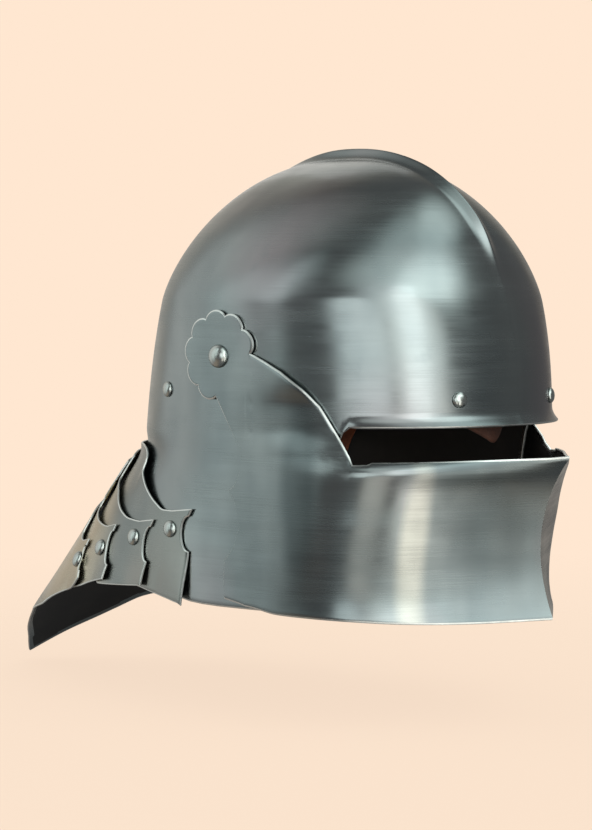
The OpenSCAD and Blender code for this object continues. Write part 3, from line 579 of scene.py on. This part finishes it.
ring_s = loop_s(SKIRT_LEVEL)


def skull_sheet():
    along = np.abs(ring_s)
    low = np.interp(along, *np.array(SKULL_LOW).T)
    rows = [skull_point(ring_s, low + (DOME_FOOT - low) * np.where(along > 1.3, v ** 1.5, v))
            for v in np.linspace(0, 1, 41)]
    for v in np.linspace(0, 1, 81)[1:]:
        z = DOME_FOOT + (DOME - DOME_FOOT) * math.sin(math.radians(v * 89.4))
        rows.append(skull_point(loop_s(z), z))
    return np.array(rows)


sheet = skull_sheet()
row_count, column_count = sheet.shape[:2]
top = row_count * column_count
last = top - column_count
points = np.vstack([sheet.reshape(-1, 3), [[0, 0, DOME + float(comb_rise(0.0, 0.0, DOME))]]])
crown_faces = np.array([(last + c, last + (c + 1) % column_count, top) for c in range(column_count)])
faces = list(outward_faces(points, grid_faces(row_count, column_count, True))) \
    + list(outward_faces(points, crown_faces))
skull = mesh_from("skull_plate", points, faces)
finish_piece(skull, PLATE, steel, "skull", ["skull"], blacking_and_painted_shade)

# %% [markdown]
# The visor wraps round the jaw and comes to a prow in front. Each level of it is a straight cheek and a
# flat front plane, rounded together. An arm rises from each cheek to a scalloped round end on the pivot.

# %% The visor
VISOR_PLATE = 1.6
VISOR_HALF = HALF_WIDTH + 0.6 + VISOR_PLATE
VISOR_CENTRE = -10
CHEEK_RUN, NOSE_RUN = 60, 215
SIGHT_CORNER, SIGHT_FRONT = 1.309, 1.359
PIVOT = np.array([9.5, 143.4])
LOBE_ROOT, LOBE_TIP, LOBES = 23.0, 26.2, 7
PROW_SLANT = [[-6, .676], [-3.6, .675], [5, .655], [20, .6], [35, .552], [50, .53], [60, .54], [75, .57],
              [80, .59], [84, .66], [87.4, .745]]
VISOR_REAR = [[5.2, 5.5], [16, 5.9], [27.1, 5.5], [31.4, 0.9], [36.2, -2.2], [41.4, -3.7], [47.3, -6.7],
              [49.5, -4.6], [59, -2.9], [63, -1.2], [66.8, 2.3], [69.2, -1.5], [75.1, -5.2], [82, -7.5],
              [90.5, -6.8], [104.4, 2.3], [120.3, 11.9]]
VISOR_UPPER = [[1.02, 144.8], [1.065, 140.1], [1.11, 134.9], [1.166, 126], [1.217, 115.5], [1.246, 105.6],
               [1.28, 95], [1.309, 84.4], [1.347, 84.7], [1.359, 85.9], [1.6, 86], [1.94, 86.5], [2, 87.2]]
VISOR_LOWER = [[0.742, 5.2], [1.019, 1.6], [1.107, -1.2], [1.214, -1.9], [1.302, -2.5], [1.468, -4.2],
               [1.622, -5.1], [1.751, -5.3], [1.886, -5], [2, -4.6]]


def visor_point(w, z):
    slant = smooth_table(z, PROW_SLANT)
    p = 8 - 2.5 * ease((z - 88) / 14) * ease((134 - z) / 18)
    reach = 129 + 19.6 * (np.maximum(0, np.minimum(z, 87) - 33) / 54) ** 2.2 \
        + 8.3 * (np.maximum(0, 33 - z) / 36.6) ** 1.8
    back = (w - 1) * CHEEK_RUN
    x_side = VISOR_HALF * (1 - np.clip((slant * VISOR_HALF + back) / reach, 0, 0.9999) ** p) ** (1 / p)
    t = np.radians(90 * np.clip(2 - w, 0, 1))
    sine, cosine = np.maximum(np.sin(t), 0), np.maximum(np.cos(t), 0)
    r = (sine ** p + (slant * VISOR_HALF / reach * sine + cosine) ** p) ** (-1 / p)
    x = np.where(w <= 1, x_side, r * VISOR_HALF * sine)
    y = np.where(w <= 1, VISOR_CENTRE - back, VISOR_CENTRE - r * reach * cosine)
    return np.stack([x, y, z + 0 * x], -1)


def visor_w(y):
    return 1 + (VISOR_CENTRE - y) / np.where(y >= VISOR_CENTRE, CHEEK_RUN, NOSE_RUN)


def around_pivot(radius, degrees):
    q = np.radians(degrees)
    return np.stack([PIVOT[0] - radius * np.cos(q), PIVOT[1] + radius * np.sin(q)], -1)


ARM_STEPS = 40
arm_arc = around_pivot(LOBE_ROOT, 264 + 100 * np.linspace(0, 1, ARM_STEPS + 1))


def visor_body():
    arc_w = visor_w(arm_arc[:, 0])
    w_top = np.concatenate([arc_w, np.linspace(arc_w[-1], SIGHT_CORNER, 26)[1:],
                            np.linspace(SIGHT_CORNER, SIGHT_FRONT, 9)[1:], np.linspace(SIGHT_FRONT, 2, 91)[1:]])
    arm = np.arange(len(w_top)) / ARM_STEPS
    arm_foot = VISOR_LOWER[0][0]
    w_low = np.where(arm < 1, arm_foot + (arc_w[-1] - arm_foot) * arm, w_top)
    z_top = np.interp(w_top, *np.array(VISOR_UPPER).T)
    z_top[:ARM_STEPS + 1] = arm_arc[:, 1]
    z_low = smooth_table(w_low, VISOR_LOWER)
    rear_z, rear_y = np.array(VISOR_REAR).T
    stations = np.unique(np.concatenate([np.linspace(a, b, 6) for a, b in zip(rear_z[:-1], rear_z[1:])]))
    rows = []
    for station in stations:
        v = (station - rear_z[0]) / (rear_z[-1] - rear_z[0])
        edge = 1 - (np.interp(station, rear_z, rear_y) - VISOR_CENTRE) / CHEEK_RUN
        w = w_low + (w_top - w_low) * v
        w = np.where(arm < 1, edge + (arc_w[-1] - edge) * (w - w[0]) / (arc_w[-1] - w[0]), w)
        rows.append(visor_point(w, z_low + (z_top - z_low) * v))
    half = np.array(rows)
    half[-1, :ARM_STEPS + 1] = visor_point(visor_w(arm_arc[:, 0]), arm_arc[:, 1])
    other = half[:, -2::-1] * [-1, 1, 1]
    return np.concatenate([half, other], 1)


def visor_end(side):
    steps = 14 * LOBES
    i = np.arange(1, steps)
    lobe_radius = LOBE_ROOT + (LOBE_TIP - LOBE_ROOT) * np.abs(np.sin(np.pi * i * LOBES / steps)) ** 0.7
    rim = np.vstack([arm_arc, around_pivot(lobe_radius, 364 + 260 * i / steps)])
    from_pivot = rim - PIVOT
    bore = from_pivot / np.linalg.norm(from_pivot, axis=1, keepdims=True) * 3.05
    rings = [visor_point(visor_w(q[:, 0]), q[:, 1]) for q in
             (PIVOT + bore + (from_pivot - bore) * f for f in np.linspace(0, 1, 15))]
    return np.array(rings) * [side, 1, 1]


body_grid = visor_body()
points = body_grid.reshape(-1, 3)
faces = outward_faces(points, grid_faces(*body_grid.shape[:2]))
for side in (1, -1):
    end_grid = visor_end(side)
    end_points = end_grid.reshape(-1, 3)
    end_faces = outward_faces(end_points, grid_faces(*end_grid.shape[:2], True))
    faces = np.vstack([faces, end_faces + len(points)])
    points = np.vstack([points, end_points])
visor = mesh_from("visor_plate", points, faces)
finish_piece(visor, VISOR_PLATE, visor_steel, "visor", ["visor"], blacking_and_painted_shade)

# %% [markdown]
# Four plates make the tail. Each lies over the one before it at the sides, stands a little away from it at
# the back, and ends in front in a bitten edge with two points. The rule is the CAD's own, but for two small
# changes: the first plate stands off a little less, and the third plate's tips clear the second as it swings.

# %% The tail plates
TAIL_PLATE, TAIL_GAP, EDGE_LIFT, CORNER_LIFT = 1.2, 0.7, 1.2, 2.4
LAME_NAMES = ["lame_1", "lame_2", "lame_3", "tail_plate"]
LAME_FRONT, LAME_FRONT_Z = [38, 71, 105.5, 130.5], [-1.4, 7.2, 7.6, 5.3]
LAME_CORNER, LAME_CORNER_Z = [34, 67.5, 102.5, 131], [29.6, 21.5, 16.3, 9]
LAME_TIP, LAME_TIP_Z = [31.5, 62.8, 98.5, 127.5], [54.5, 46.3, 40, 27.5]
LAME_BITE = [6.2, 5, 4.4, 2.6]
LAME_HIGH = [
    [[0, 88.6], [0.45, 88.6], [0.54, 87], [0.588, 80.8], [0.611, 73.9], [0.658, 68.2], [0.723, 61.3],
     [0.777, 55.9], [0.819, 52.6], [1, 52.5]],
    [[0, 81.5], [0.3, 81], [0.369, 78.5], [0.392, 70.2], [0.426, 63.7], [0.517, 57.9], [0.584, 51.9],
     [0.64, 47.5], [0.691, 44.9], [0.75, 44.3], [1, 44.3]],
    [[0, 75], [0.2, 75], [0.338, 73.5], [0.365, 67], [0.375, 59.8], [0.385, 51.3], [0.41, 44.5],
     [0.473, 40.4], [0.526, 38.4], [0.584, 37.4], [0.65, 38], [1, 38]],
    [[0, 52], [0.2, 50], [0.306, 44.5], [0.37, 41], [0.405, 36.5], [0.423, 32.2], [0.444, 28], [0.489, 25.3],
     [0.55, 25.5], [1, 25.5]]]
LAME_STAND = [
    [[0, 0.9], [0.42, 0.7], [0.5, 0.2], [0.57, 0.2], [0.62, 1], [0.7, 1], [0.85, 0]],
    [[0, 1.5], [0.36, 1.5], [0.5, 1], [0.6, 0.9], [0.74, 0]],
    [[0, 1.2], [0.38, 1.25], [0.5, 1], [0.62, 0.25]],
    [[0, 0.8], [0.42, 0.75], [0.5, 0.5], [0.56, 0]]]
LAME_KICK = [1, 0.65, 0.65, 0.5]
LAME_LOW = [
    [[0, 68], [0.3, 68], [0.4, 60], [0.5, 48], [0.6, 38], [0.65, 35], [0.69, 30], [0.72, 20], [0.755, 9.5],
     [0.825, 6.5], [0.869, 4], [0.91, 1.7], [0.944, -0.3], [1, -1.4]],
    [[0, 60], [0.2, 58], [0.3, 54], [0.4, 44], [0.45, 38], [0.5, 33], [0.575, 25], [0.61, 18], [0.65, 9],
     [0.679, 4.6], [0.727, 5.2], [0.781, 6.2], [0.836, 7.4]],
    [[0, 38], [0.2, 38], [0.3, 28], [0.4, 16], [0.47, 7], [0.53, 1], [0.56, -1.5], [0.604, 0.4], [0.658, 4.9],
     [0.706, 7.6]],
    [[0, -66], [0.04, -59], [0.08, -52.5], [0.15, -43], [0.19, -37], [0.25, -28.3], [0.331, -23.5],
     [0.372, -21], [0.428, -17.4], [0.465, -12.8], [0.506, -8.6], [0.553, -4.5], [0.59, -1.7], [0.61, 5.3]]]


def lame_inner(k):
    return TAIL_GAP + k * (TAIL_PLATE + TAIL_GAP)


def lame_front_y(k, z):
    c0, c1 = LAME_CORNER_Z[k], LAME_TIP_Z[k] - 4
    if z <= c0:
        return LAME_FRONT[k] + (LAME_CORNER[k] - LAME_FRONT[k]) * (z - LAME_FRONT_Z[k]) / (c0 - LAME_FRONT_Z[k])
    if z <= c1:
        r = (z - c0) / (c1 - c0)
        return LAME_CORNER[k] + (LAME_TIP[k] + 2.5 - LAME_CORNER[k]) * r \
            + LAME_BITE[k] * math.sqrt(max(0, 1 - (2 * r - 1) ** 2))
    return LAME_TIP[k] + 2.5 - 2.5 * (z - c1) / 4


def lame_sheet(k):
    span = LAME_TIP_Z[k] - LAME_FRONT_Z[k]
    corner, bite_end = (LAME_CORNER_Z[k] - LAME_FRONT_Z[k]) / span, 1 - 4 / span
    even = np.linspace(0, 1, 25)
    round_the_bite = 0.35 * even + 0.65 * (1 - np.cos(np.pi * even)) / 2
    stations = np.concatenate([np.linspace(0, corner, 13)[:-1], corner + (bite_end - corner) * round_the_bite,
                               np.linspace(bite_end, 1, 6)[1:]])
    f = np.linspace(-1, 1, 225)
    g = np.abs(f)
    w_low, w_top = s_beside(LAME_FRONT[k], LAME_FRONT_Z[k]), s_beside(LAME_TIP[k], LAME_TIP_Z[k])
    wb, wt = w_low * g, w_top * g
    zb = np.where(g >= 1, LAME_FRONT_Z[k], smooth_table(wb, LAME_LOW[k]))
    zt = smooth_table(wt, LAME_HIGH[k]) + 2 * np.maximum(0, (g - 0.93) / 0.07)
    rows = []
    for v in stations:
        z_end = LAME_FRONT_Z[k] + span * v
        w_end = s_beside(lame_front_y(k, z_end), z_end)
        w = wb + (wt - wb) * v + g ** 9 * (w_end - w_low - (w_top - w_low) * v)
        p = base_point(np.sign(f) * w, zb + (zt - zb) * v)
        lift = EDGE_LIFT * smooth_table(w, LAME_STAND[k]) * v ** 4 \
            + CORNER_LIFT * LAME_KICK[k] * ease((0.55 - v) / 0.5) * np.maximum(0, (g - 0.929) / 0.071)
        rows.append(p + base_normal(p) * (lame_inner(k) + lift + TAIL_PLATE)[:, None])
    return np.array(rows)


for k, name in enumerate(LAME_NAMES):
    lame = sheet_mesh(name + "_sheet", lame_sheet(k))
    finish_piece(lame, TAIL_PLATE, tail_steel, name, [name], blacking_and_painted_shade)

# %% [markdown]
# Every plate hangs on domed rivets: a polished head, a shank and a hammered end inside. They are one shape in
# different sizes, so Geometry Nodes set one on each point that carries an outward direction.

# %% The rivet tree
def new_tree(name, inputs):
    tree = bpy.data.node_groups.new(name, "GeometryNodeTree")
    tree.interface.new_socket("Geometry", in_out="INPUT", socket_type="NodeSocketGeometry")
    for label, value in inputs.items():
        tree.interface.new_socket(label, in_out="INPUT", socket_type="NodeSocketFloat").default_value = value
    tree.interface.new_socket("Material", in_out="INPUT", socket_type="NodeSocketMaterial")
    tree.interface.new_socket("Geometry", in_out="OUTPUT", socket_type="NodeSocketGeometry")
    return tree, add_node(tree, "NodeGroupInput").outputs


def close_tree(tree, given, instance, rotation):
    """Sets the instance on every point, makes it real and gives it the material."""
    spread = add_node(tree, "GeometryNodeInstanceOnPoints", {"Points": given["Geometry"], "Instance": instance,
                      "Rotation": rotation}).outputs[0]
    real = add_node(tree, "GeometryNodeRealizeInstances", {0: spread}).outputs[0]
    painted = add_node(tree, "GeometryNodeSetMaterial", {0: real, "Material": given["Material"]}).outputs[0]
    add_node(tree, "NodeGroupOutput", {0: painted})


def direction(tree, name):
    return add_node(tree, "GeometryNodeInputNamedAttribute", {"Name": name}, data_type="FLOAT_VECTOR").outputs[0]


def turned_to(tree, inputs, axis, pivot="AUTO"):
    return add_node(tree, "FunctionNodeAlignRotationToVector", inputs, axis=axis, pivot_axis=pivot).outputs[0]


def moved_ball(tree, ball, wide, tall, lift, upper):
    """Half of a unit ball, stretched to its width and height and lifted: the other half is pressed flat."""
    place = add_node(tree, "ShaderNodeSeparateXYZ", {0: add_node(tree, "GeometryNodeInputPosition").outputs[0]})
    kept = maths(tree, "MAXIMUM" if upper else "MINIMUM", place.outputs["Z"], 0.0)
    z = maths(tree, "ADD", maths(tree, "MULTIPLY", kept, tall), lift)
    x = maths(tree, "MULTIPLY", place.outputs["X"], wide)
    y = maths(tree, "MULTIPLY", place.outputs["Y"], wide)
    spot = add_node(tree, "ShaderNodeCombineXYZ", {"X": x, "Y": y, "Z": z}).outputs[0]
    return add_node(tree, "GeometryNodeSetPosition", {0: ball, "Position": spot}).outputs[0]


tree, given = new_tree("domed rivets", {"Head width": .01, "Head height": .0028, "Shank width": .004,
                                              "Grip": .005})
ball = add_node(tree, "GeometryNodeMeshUVSphere", {"Segments": 40, "Rings": 24, "Radius": 0.5}).outputs[0]
head = moved_ball(tree, ball, given["Head width"], maths(tree, "MULTIPLY", given["Head height"], 2.0),
                  0.0, True)
deep = maths(tree, "MULTIPLY", given["Grip"], -1.0)
foot = moved_ball(tree, ball, maths(tree, "ADD", given["Shank width"], .0016), .0018, deep, False)
shank = add_node(tree, "GeometryNodeMeshCylinder", {"Vertices": 32, "Side Segments": 1, "Depth": given["Grip"],
                 "Radius": maths(tree, "MULTIPLY", given["Shank width"], 0.5)}).outputs[0]
half_way = add_node(tree, "ShaderNodeCombineXYZ", {"Z": maths(tree, "MULTIPLY", deep, 0.5)}).outputs[0]
shank = add_node(tree, "GeometryNodeTransform", {0: shank, "Translation": half_way}).outputs[0]
one = add_node(tree, "GeometryNodeJoinGeometry")
for part in (head, foot, shank):
    tree.links.new(part, one.inputs[0])
close_tree(tree, given, one.outputs[0], turned_to(tree, {"Vector": direction(tree, "outward")}, "Z"))
rivet_tree = tree
print("rivet tree nodes:", len(rivet_tree.nodes))

# %% [markdown]
# The heads were buffed brighter than the plates. The washers inside are punched steel and keep their CAD shape.

# %% Rivet steel, and a helper that runs a tree
def plain_steel(name, base, roughness):
    material, tree, shader = principled(name, base, Metallic=1.0, Roughness=roughness)
    grain = noise(tree, (420, 420, 420))
    feed(shader, {"Roughness": remap(tree, grain, 0.3, 0.7, roughness - 0.06, roughness + 0.08),
                  "Normal": bump(tree, noise(tree, (240, 240, 240), 1.0), 0.25, 0.0004)})
    return material


rivet_steel = plain_steel("buffed rivet steel", "#B4BBB8", 0.22)
washer_steel = plain_steel("punched washer steel", "#7C8482", 0.42)


def take_result(obj):
    """Makes what the modifiers show into the object's own mesh."""
    bpy.context.view_layer.update()
    made = bpy.data.meshes.new_from_object(obj.evaluated_get(bpy.context.evaluated_depsgraph_get()))
    obj.modifiers.clear()
    obj.data = made


def grow(name, points, directions, tree, sizes, material, body, replaced):
    """Runs a tree on loose points in millimetres, which carry the directions that it reads."""
    obj = mesh_from(name, points, [])
    for label, values in directions.items():
        attribute = obj.data.attributes.new(label, "FLOAT_VECTOR", "POINT")
        attribute.data.foreach_set("vector", np.array(values, np.float32).ravel())
    modifier = obj.modifiers.new(tree.name, "NODES")
    modifier.node_group = tree
    for item in tree.interface.items_tree:
        if item.in_out == "INPUT" and item.name in sizes:
            modifier[item.identifier] = sizes[item.name]
        if item.in_out == "INPUT" and item.name == "Material":
            modifier[item.identifier] = material
    take_result(obj)
    finish_piece(obj, 0, material, body, replaced)


def rivets(label, point, outward, body, *sizes):
    """A rivet at a point with an outward direction, and another at its mirror image, with sizes in millimetres."""
    sides = np.array([[1, 1, 1], [-1, 1, 1]])
    names = "Head width", "Head height", "Shank width", "Grip"
    grow(label + "_rivets", sides * point, {"outward": sides * outward}, rivet_tree,
         {name: size * MM for name, size in zip(names, sizes)}, rivet_steel, body,
         [label + "_rivet_left", label + "_rivet_right"])


def repaint(names, material):
    for name in names:
        nodes[name].data.materials.clear()
        nodes[name].data.materials.append(material)


# %% [markdown]
# First come the two pairs that hold the leather, and the visor's pivots. Then each tail plate brings its own
# pair, which turns with it. All places are the CAD's.

# %% The rivets
LINER_SEAT, WASHER_SEAT, HEAD_SEAT, LEATHER, WASHER, FACE_GAP = 0.3, 0.45, 0.2, 2.0, 1.0, 0.1
BAND_HIGH = PIVOT[1] - 11.4
BAND_LOW = BAND_HIGH - 21
BROW_RIVET = (1.745, BAND_HIGH - 12.3)
SIDE_RIVET = (float(s_beside(60, BAND_HIGH - 9)), BAND_HIGH - 9)
PIVOT_SEAT = 0.55


def on_skull(s, z):
    p = base_point(s, z)
    n = base_normal(p)
    return p + n * HEAD_SEAT, n


for label, spot, layers in (("brow", BROW_RIVET, 1), ("side", SIDE_RIVET, 2)):
    rivets(label, *on_skull(*spot), "skull", 9.2, 2.6, 4,
           HEAD_SEAT + PLATE + layers * (LINER_SEAT + LEATHER) + WASHER_SEAT + WASHER)
pivot_skull = base_point(s_beside(*PIVOT), PIVOT[1])
pivot_seat = VISOR_HALF + FACE_GAP
rivets("pivot", np.array([pivot_seat, *PIVOT]), np.array([1.0, 0, 0]), "skull", 13.5, 4.2, 6,
       pivot_seat - (pivot_skull[0] - PLATE - PIVOT_SEAT - WASHER))
LAME_PIVOTS = [(49.5, 42.2), (81.5, 35.3), (115, 26.6), (140, 17.4)]
for k, (y, z) in enumerate(LAME_PIVOTS):
    point = base_point(s_beside(y, z), z)
    normal = base_normal(point)
    outer = lame_inner(k) + TAIL_PLATE + HEAD_SEAT
    under = -PLATE if k == 0 else lame_inner(k - 1)
    rivets("tail" if k == 3 else LAME_NAMES[k], point + [outer / normal[0], 0, 0], normal, LAME_NAMES[k],
           10, 2.8, 4, outer - under + 0.5 + WASHER)
repaint(["pivot_washer_left", "pivot_washer_right", "liner_washers", "lame_1_washers", "lame_2_washers",
         "lame_3_washers", "tail_washers"], washer_steel)

# %% [markdown]
# The liner is vegetable-tanned cowhide, dyed brown: a band riveted round the inside, a bowl sewn to its top,
# a tongue that hangs behind the sight and two straps. The hide has fine grain cells and cloudy dye. Grain
# cells about a millimetre wide are drawn a little coarser than real ones, to show.

# %% Leather, thread and brass
def leather(name, base, dark, roughness):
    material, tree, shader = principled(name, base, Roughness=roughness)
    cloud = noise(tree, (38, 38, 38), 4.0, 0.6)
    cells = add_node(tree, "ShaderNodeTexVoronoi", {"Vector": object_place(tree), "Scale": 900.0},
                     feature="SMOOTH_F1").outputs["Distance"]
    tone = blended(tree, remap(tree, cloud, 0.35, 0.7, 0, 1), colour(dark), colour(base))
    feed(shader, {"Base Color": blended(tree, remap(tree, cells, 0.2, 0.7, 0, 0.35), tone, colour(dark)),
                  "Roughness": remap(tree, cloud, 0.3, 0.7, roughness - 0.1, roughness + 0.1),
                  "Normal": bump(tree, cells, 0.35, 0.0004, invert=True)})
    return material


hide = leather("brown cowhide", "#4E2A1A", "#27140C", 0.6)
strap_hide = leather("red-brown strap leather", "#8A4A2A", "#4E2817", 0.45)
thread = principled("waxed linen thread", "#C9AD84", Roughness=0.7)[0]
brass = plain_steel("cast brass", "#C29A58", 0.3)
repaint(["buckle_frame", "buckle_prong"], brass)
print("leather:", hide.name, "and", strap_hide.name)

# %% The leather band, bowl and flap
BAND_FACE = PLATE + LINER_SEAT
FLAP_FACE = BAND_FACE + LEATHER + LINER_SEAT
FLAP_DROP = [[0, 6], [0.08, 11], [0.18, 14.6], [0.3, 16], [0.4, 15.2], [0.5, 13.4], [1, 5.5]]


def lined(s, z, off):
    p = base_point(s, z)
    return p - base_normal(p) * np.asarray(off)[..., None]


def flap_s(f):
    return -(1.985 - 0.21 * f)


def flap_row(f, v):
    """One row of the flap: its lower edge is a tongue whose right part curls inwards."""
    low = BAND_LOW - smooth_table(f, FLAP_DROP)
    curl = 4 * (1 - v) * ease((0.45 - f) / 0.45)
    return lined(flap_s(f), low + (BAND_LOW + 3 - low) * v, FLAP_FACE + curl)


band = sheet_mesh("leather_band", [lined(ring_s, z, BAND_FACE) for z in np.linspace(BAND_LOW, BAND_HIGH, 9)], True)
finish_piece(band, LEATHER, hide, "skull", ["liner_band"])
ring_turn = np.linspace(0, 2 * np.pi, len(ring_s), endpoint=False)
rows = []
for rise in np.linspace(0, 104, 45):
    puckers = 1.6 * (0.5 - 0.5 * np.cos(10 * ring_turn)) * min(1, rise / 60)
    rows.append(lined(ring_s, BAND_HIGH + rise, BAND_FACE + min(16, 1.1 * rise) + puckers))
finish_piece(sheet_mesh("leather_bowl", rows, True), LEATHER, hide, "skull", ["liner_crown"])
flap = sheet_mesh("leather_flap", [flap_row(np.linspace(0, 1, 97), v) for v in np.linspace(0, 1, 13)])
finish_piece(flap, LEATHER, hide, "skull", ["liner_flap"])

# %% [markdown]
# The band is sewn to the bowl and the flap to the band, with waxed linen. A second tree sets one stitch on
# each point: a small ball, drawn out along the seam and pressed flat.

# %% The stitches
tree, given = new_tree("stitches", {"Length": .0032, "Width": .0009})
ball = add_node(tree, "GeometryNodeMeshUVSphere", {"Segments": 10, "Rings": 6, "Radius": 0.5}).outputs[0]
size = add_node(tree, "ShaderNodeCombineXYZ", {"X": given["Length"], "Y": given["Width"],
                "Z": given["Width"]}).outputs[0]
stitch = add_node(tree, "GeometryNodeTransform", {0: ball, "Scale": size}).outputs[0]
upright = turned_to(tree, {"Vector": direction(tree, "outward")}, "Z")
laid = turned_to(tree, {"Rotation": upright, "Vector": direction(tree, "along")}, "X", "Z")
close_tree(tree, given, stitch, laid)
stitch_tree = tree


def seam(name, s, z, off, spacing, replaced):
    """Stitches at an even spacing along a line of points on the leather."""
    def spread(values, shift=0.0):
        return np.stack([np.interp(places + shift, run, values[:, i]) for i in range(3)], -1)
    line = lined(s, z, off)
    run = np.concatenate([[0], np.cumsum(np.linalg.norm(np.diff(line, axis=0), axis=1))])
    places = np.arange(0.5, int(run[-1] / spacing)) * spacing
    spots = spread(line)
    grow(name, spots, {"outward": spread(-base_normal(line)), "along": spread(line, 0.5) - spots}, stitch_tree, {},
         thread, "skull", replaced)


seam("band_stitches", np.append(ring_s, ring_s[0]), BAND_HIGH - 3, BAND_FACE + LEATHER, 4.6, ["liner_band"])
seam("flap_stitches", flap_s(np.linspace(0.04, 0.96, 60)), BAND_LOW + 0.8, FLAP_FACE + LEATHER, 4.2, ["liner_flap"])

# %% [markdown]
# The chin straps hang from the side rivets, flat against the skull. The long one has a row of punched holes,
# cut here with a Boolean. The short one ends in two loops round the buckle's bar, with the prong between.

# %% The chin straps
STRAP_LEAN, STRAP_WIDTH, STRAP_LONG, STRAP_SHORT = math.radians(26), 14, 92, 42


def strap_point(length, side_step, off, side):
    y = 60 + math.sin(STRAP_LEAN) * length + math.cos(STRAP_LEAN) * side_step
    z = 123 - math.cos(STRAP_LEAN) * length + math.sin(STRAP_LEAN) * side_step
    w = s_beside(y, z)
    p = base_point(w, z)
    return (p - base_normal(p) * (off + tuck(w, z))[..., None]) * [side, 1, 1]


def strap_sheet(name, length, side):
    lengths, steps = np.meshgrid(np.linspace(-6, length, 60), np.linspace(-0.5, 0.5, 11) * STRAP_WIDTH, indexing="ij")
    corner = np.clip((lengths - length + 5) / 5, 0, 1)
    steps = steps * (1 - 0.35 * corner ** 2 * (side > 0))
    return sheet_mesh(name, strap_point(lengths, steps, FLAP_FACE, side))


def punched(obj, holes, radius):
    """Cuts round holes through a strap, after its edges are rounded."""
    for point, direction in holes:
        bpy.ops.mesh.primitive_cylinder_add(vertices=24, radius=radius * MM, depth=0.012, location=Vector(point) * MM,
                                            rotation=Vector(direction).to_track_quat("Z", "Y").to_euler())
        cutter = bpy.context.object
        cut = obj.modifiers.new("hole", "BOOLEAN")
        cut.operation, cut.solver, cut.object = "DIFFERENCE", "EXACT", cutter
        take_result(obj)
        bpy.data.objects.remove(cutter)


long_strap = strap_sheet("long_strap", STRAP_LONG, 1)
holes = []
for length in range(STRAP_LONG - 44, STRAP_LONG - 10, 11):
    middle = strap_point(length, 0.0, FLAP_FACE + 1, 1)
    holes.append((middle, base_normal(middle)))
finish_piece(long_strap, LEATHER, strap_hide, "skull", ["strap_left"])
punched(long_strap, holes, 1.5)
short_strap = strap_sheet("short_strap", STRAP_SHORT, -1)
finish_piece(short_strap, LEATHER, strap_hide, "skull", ["strap_right"])
LOOP_BORE, PRONG_SLOT = 2.9, 4.4


def one_point(length):
    return strap_point(length, 0.0, FLAP_FACE + LEATHER / 2, -1)


def loop_rings():
    """Two rings of leather round the buckle's bar: a rounded profile swept round the bar's axis."""
    end = one_point(STRAP_SHORT)
    bar_x = end - one_point(STRAP_SHORT - 6.0)
    bar_x /= np.linalg.norm(bar_x)
    facing = base_normal((end * [-1, 1, 1])[None])[0] * [1, -1, -1]
    bar_z = facing - bar_x * (facing @ bar_x)
    bar_z /= np.linalg.norm(bar_z)
    bar_y = np.cross(bar_z, bar_x)
    pin = end + bar_x * (LOOP_BORE / 2 + LEATHER - 0.4)
    turn = np.linspace(0, 2 * np.pi, 24, endpoint=False)
    low, high = PRONG_SLOT / 2, STRAP_WIDTH / 2
    step = np.abs(np.cos(turn)) ** 0.4 * np.sign(np.cos(turn)), np.abs(np.sin(turn)) ** 0.4 * np.sign(np.sin(turn))
    points, faces = [], []
    for side in (1, -1):
        rings = [pin + np.outer((low + high) / 2 * side + step[0] * (high - low) / 2, bar_y)
                 + np.outer(LOOP_BORE / 2 + LEATHER / 2 * (1 + step[1]), math.cos(a) * bar_x + math.sin(a) * bar_z)
                 for a in np.linspace(0, 2 * np.pi, 49)]
        faces.append(grid_faces(49, 24, True) + len(points) * 49 * 24)
        points.append(np.vstack(rings))
    return np.vstack(points), np.vstack(faces)


loops = mesh_from("strap_loops", *loop_rings())
both = bmesh.new()
both.from_mesh(loops.data)
bmesh.ops.remove_doubles(both, verts=both.verts, dist=0.00001)
bmesh.ops.recalc_face_normals(both, faces=both.faces)
for face in both.faces:
    face.smooth = True
both.from_mesh(short_strap.data)
both.to_mesh(short_strap.data)
both.free()
bpy.data.objects.remove(loops)
print("holes in the long strap:", len(holes))
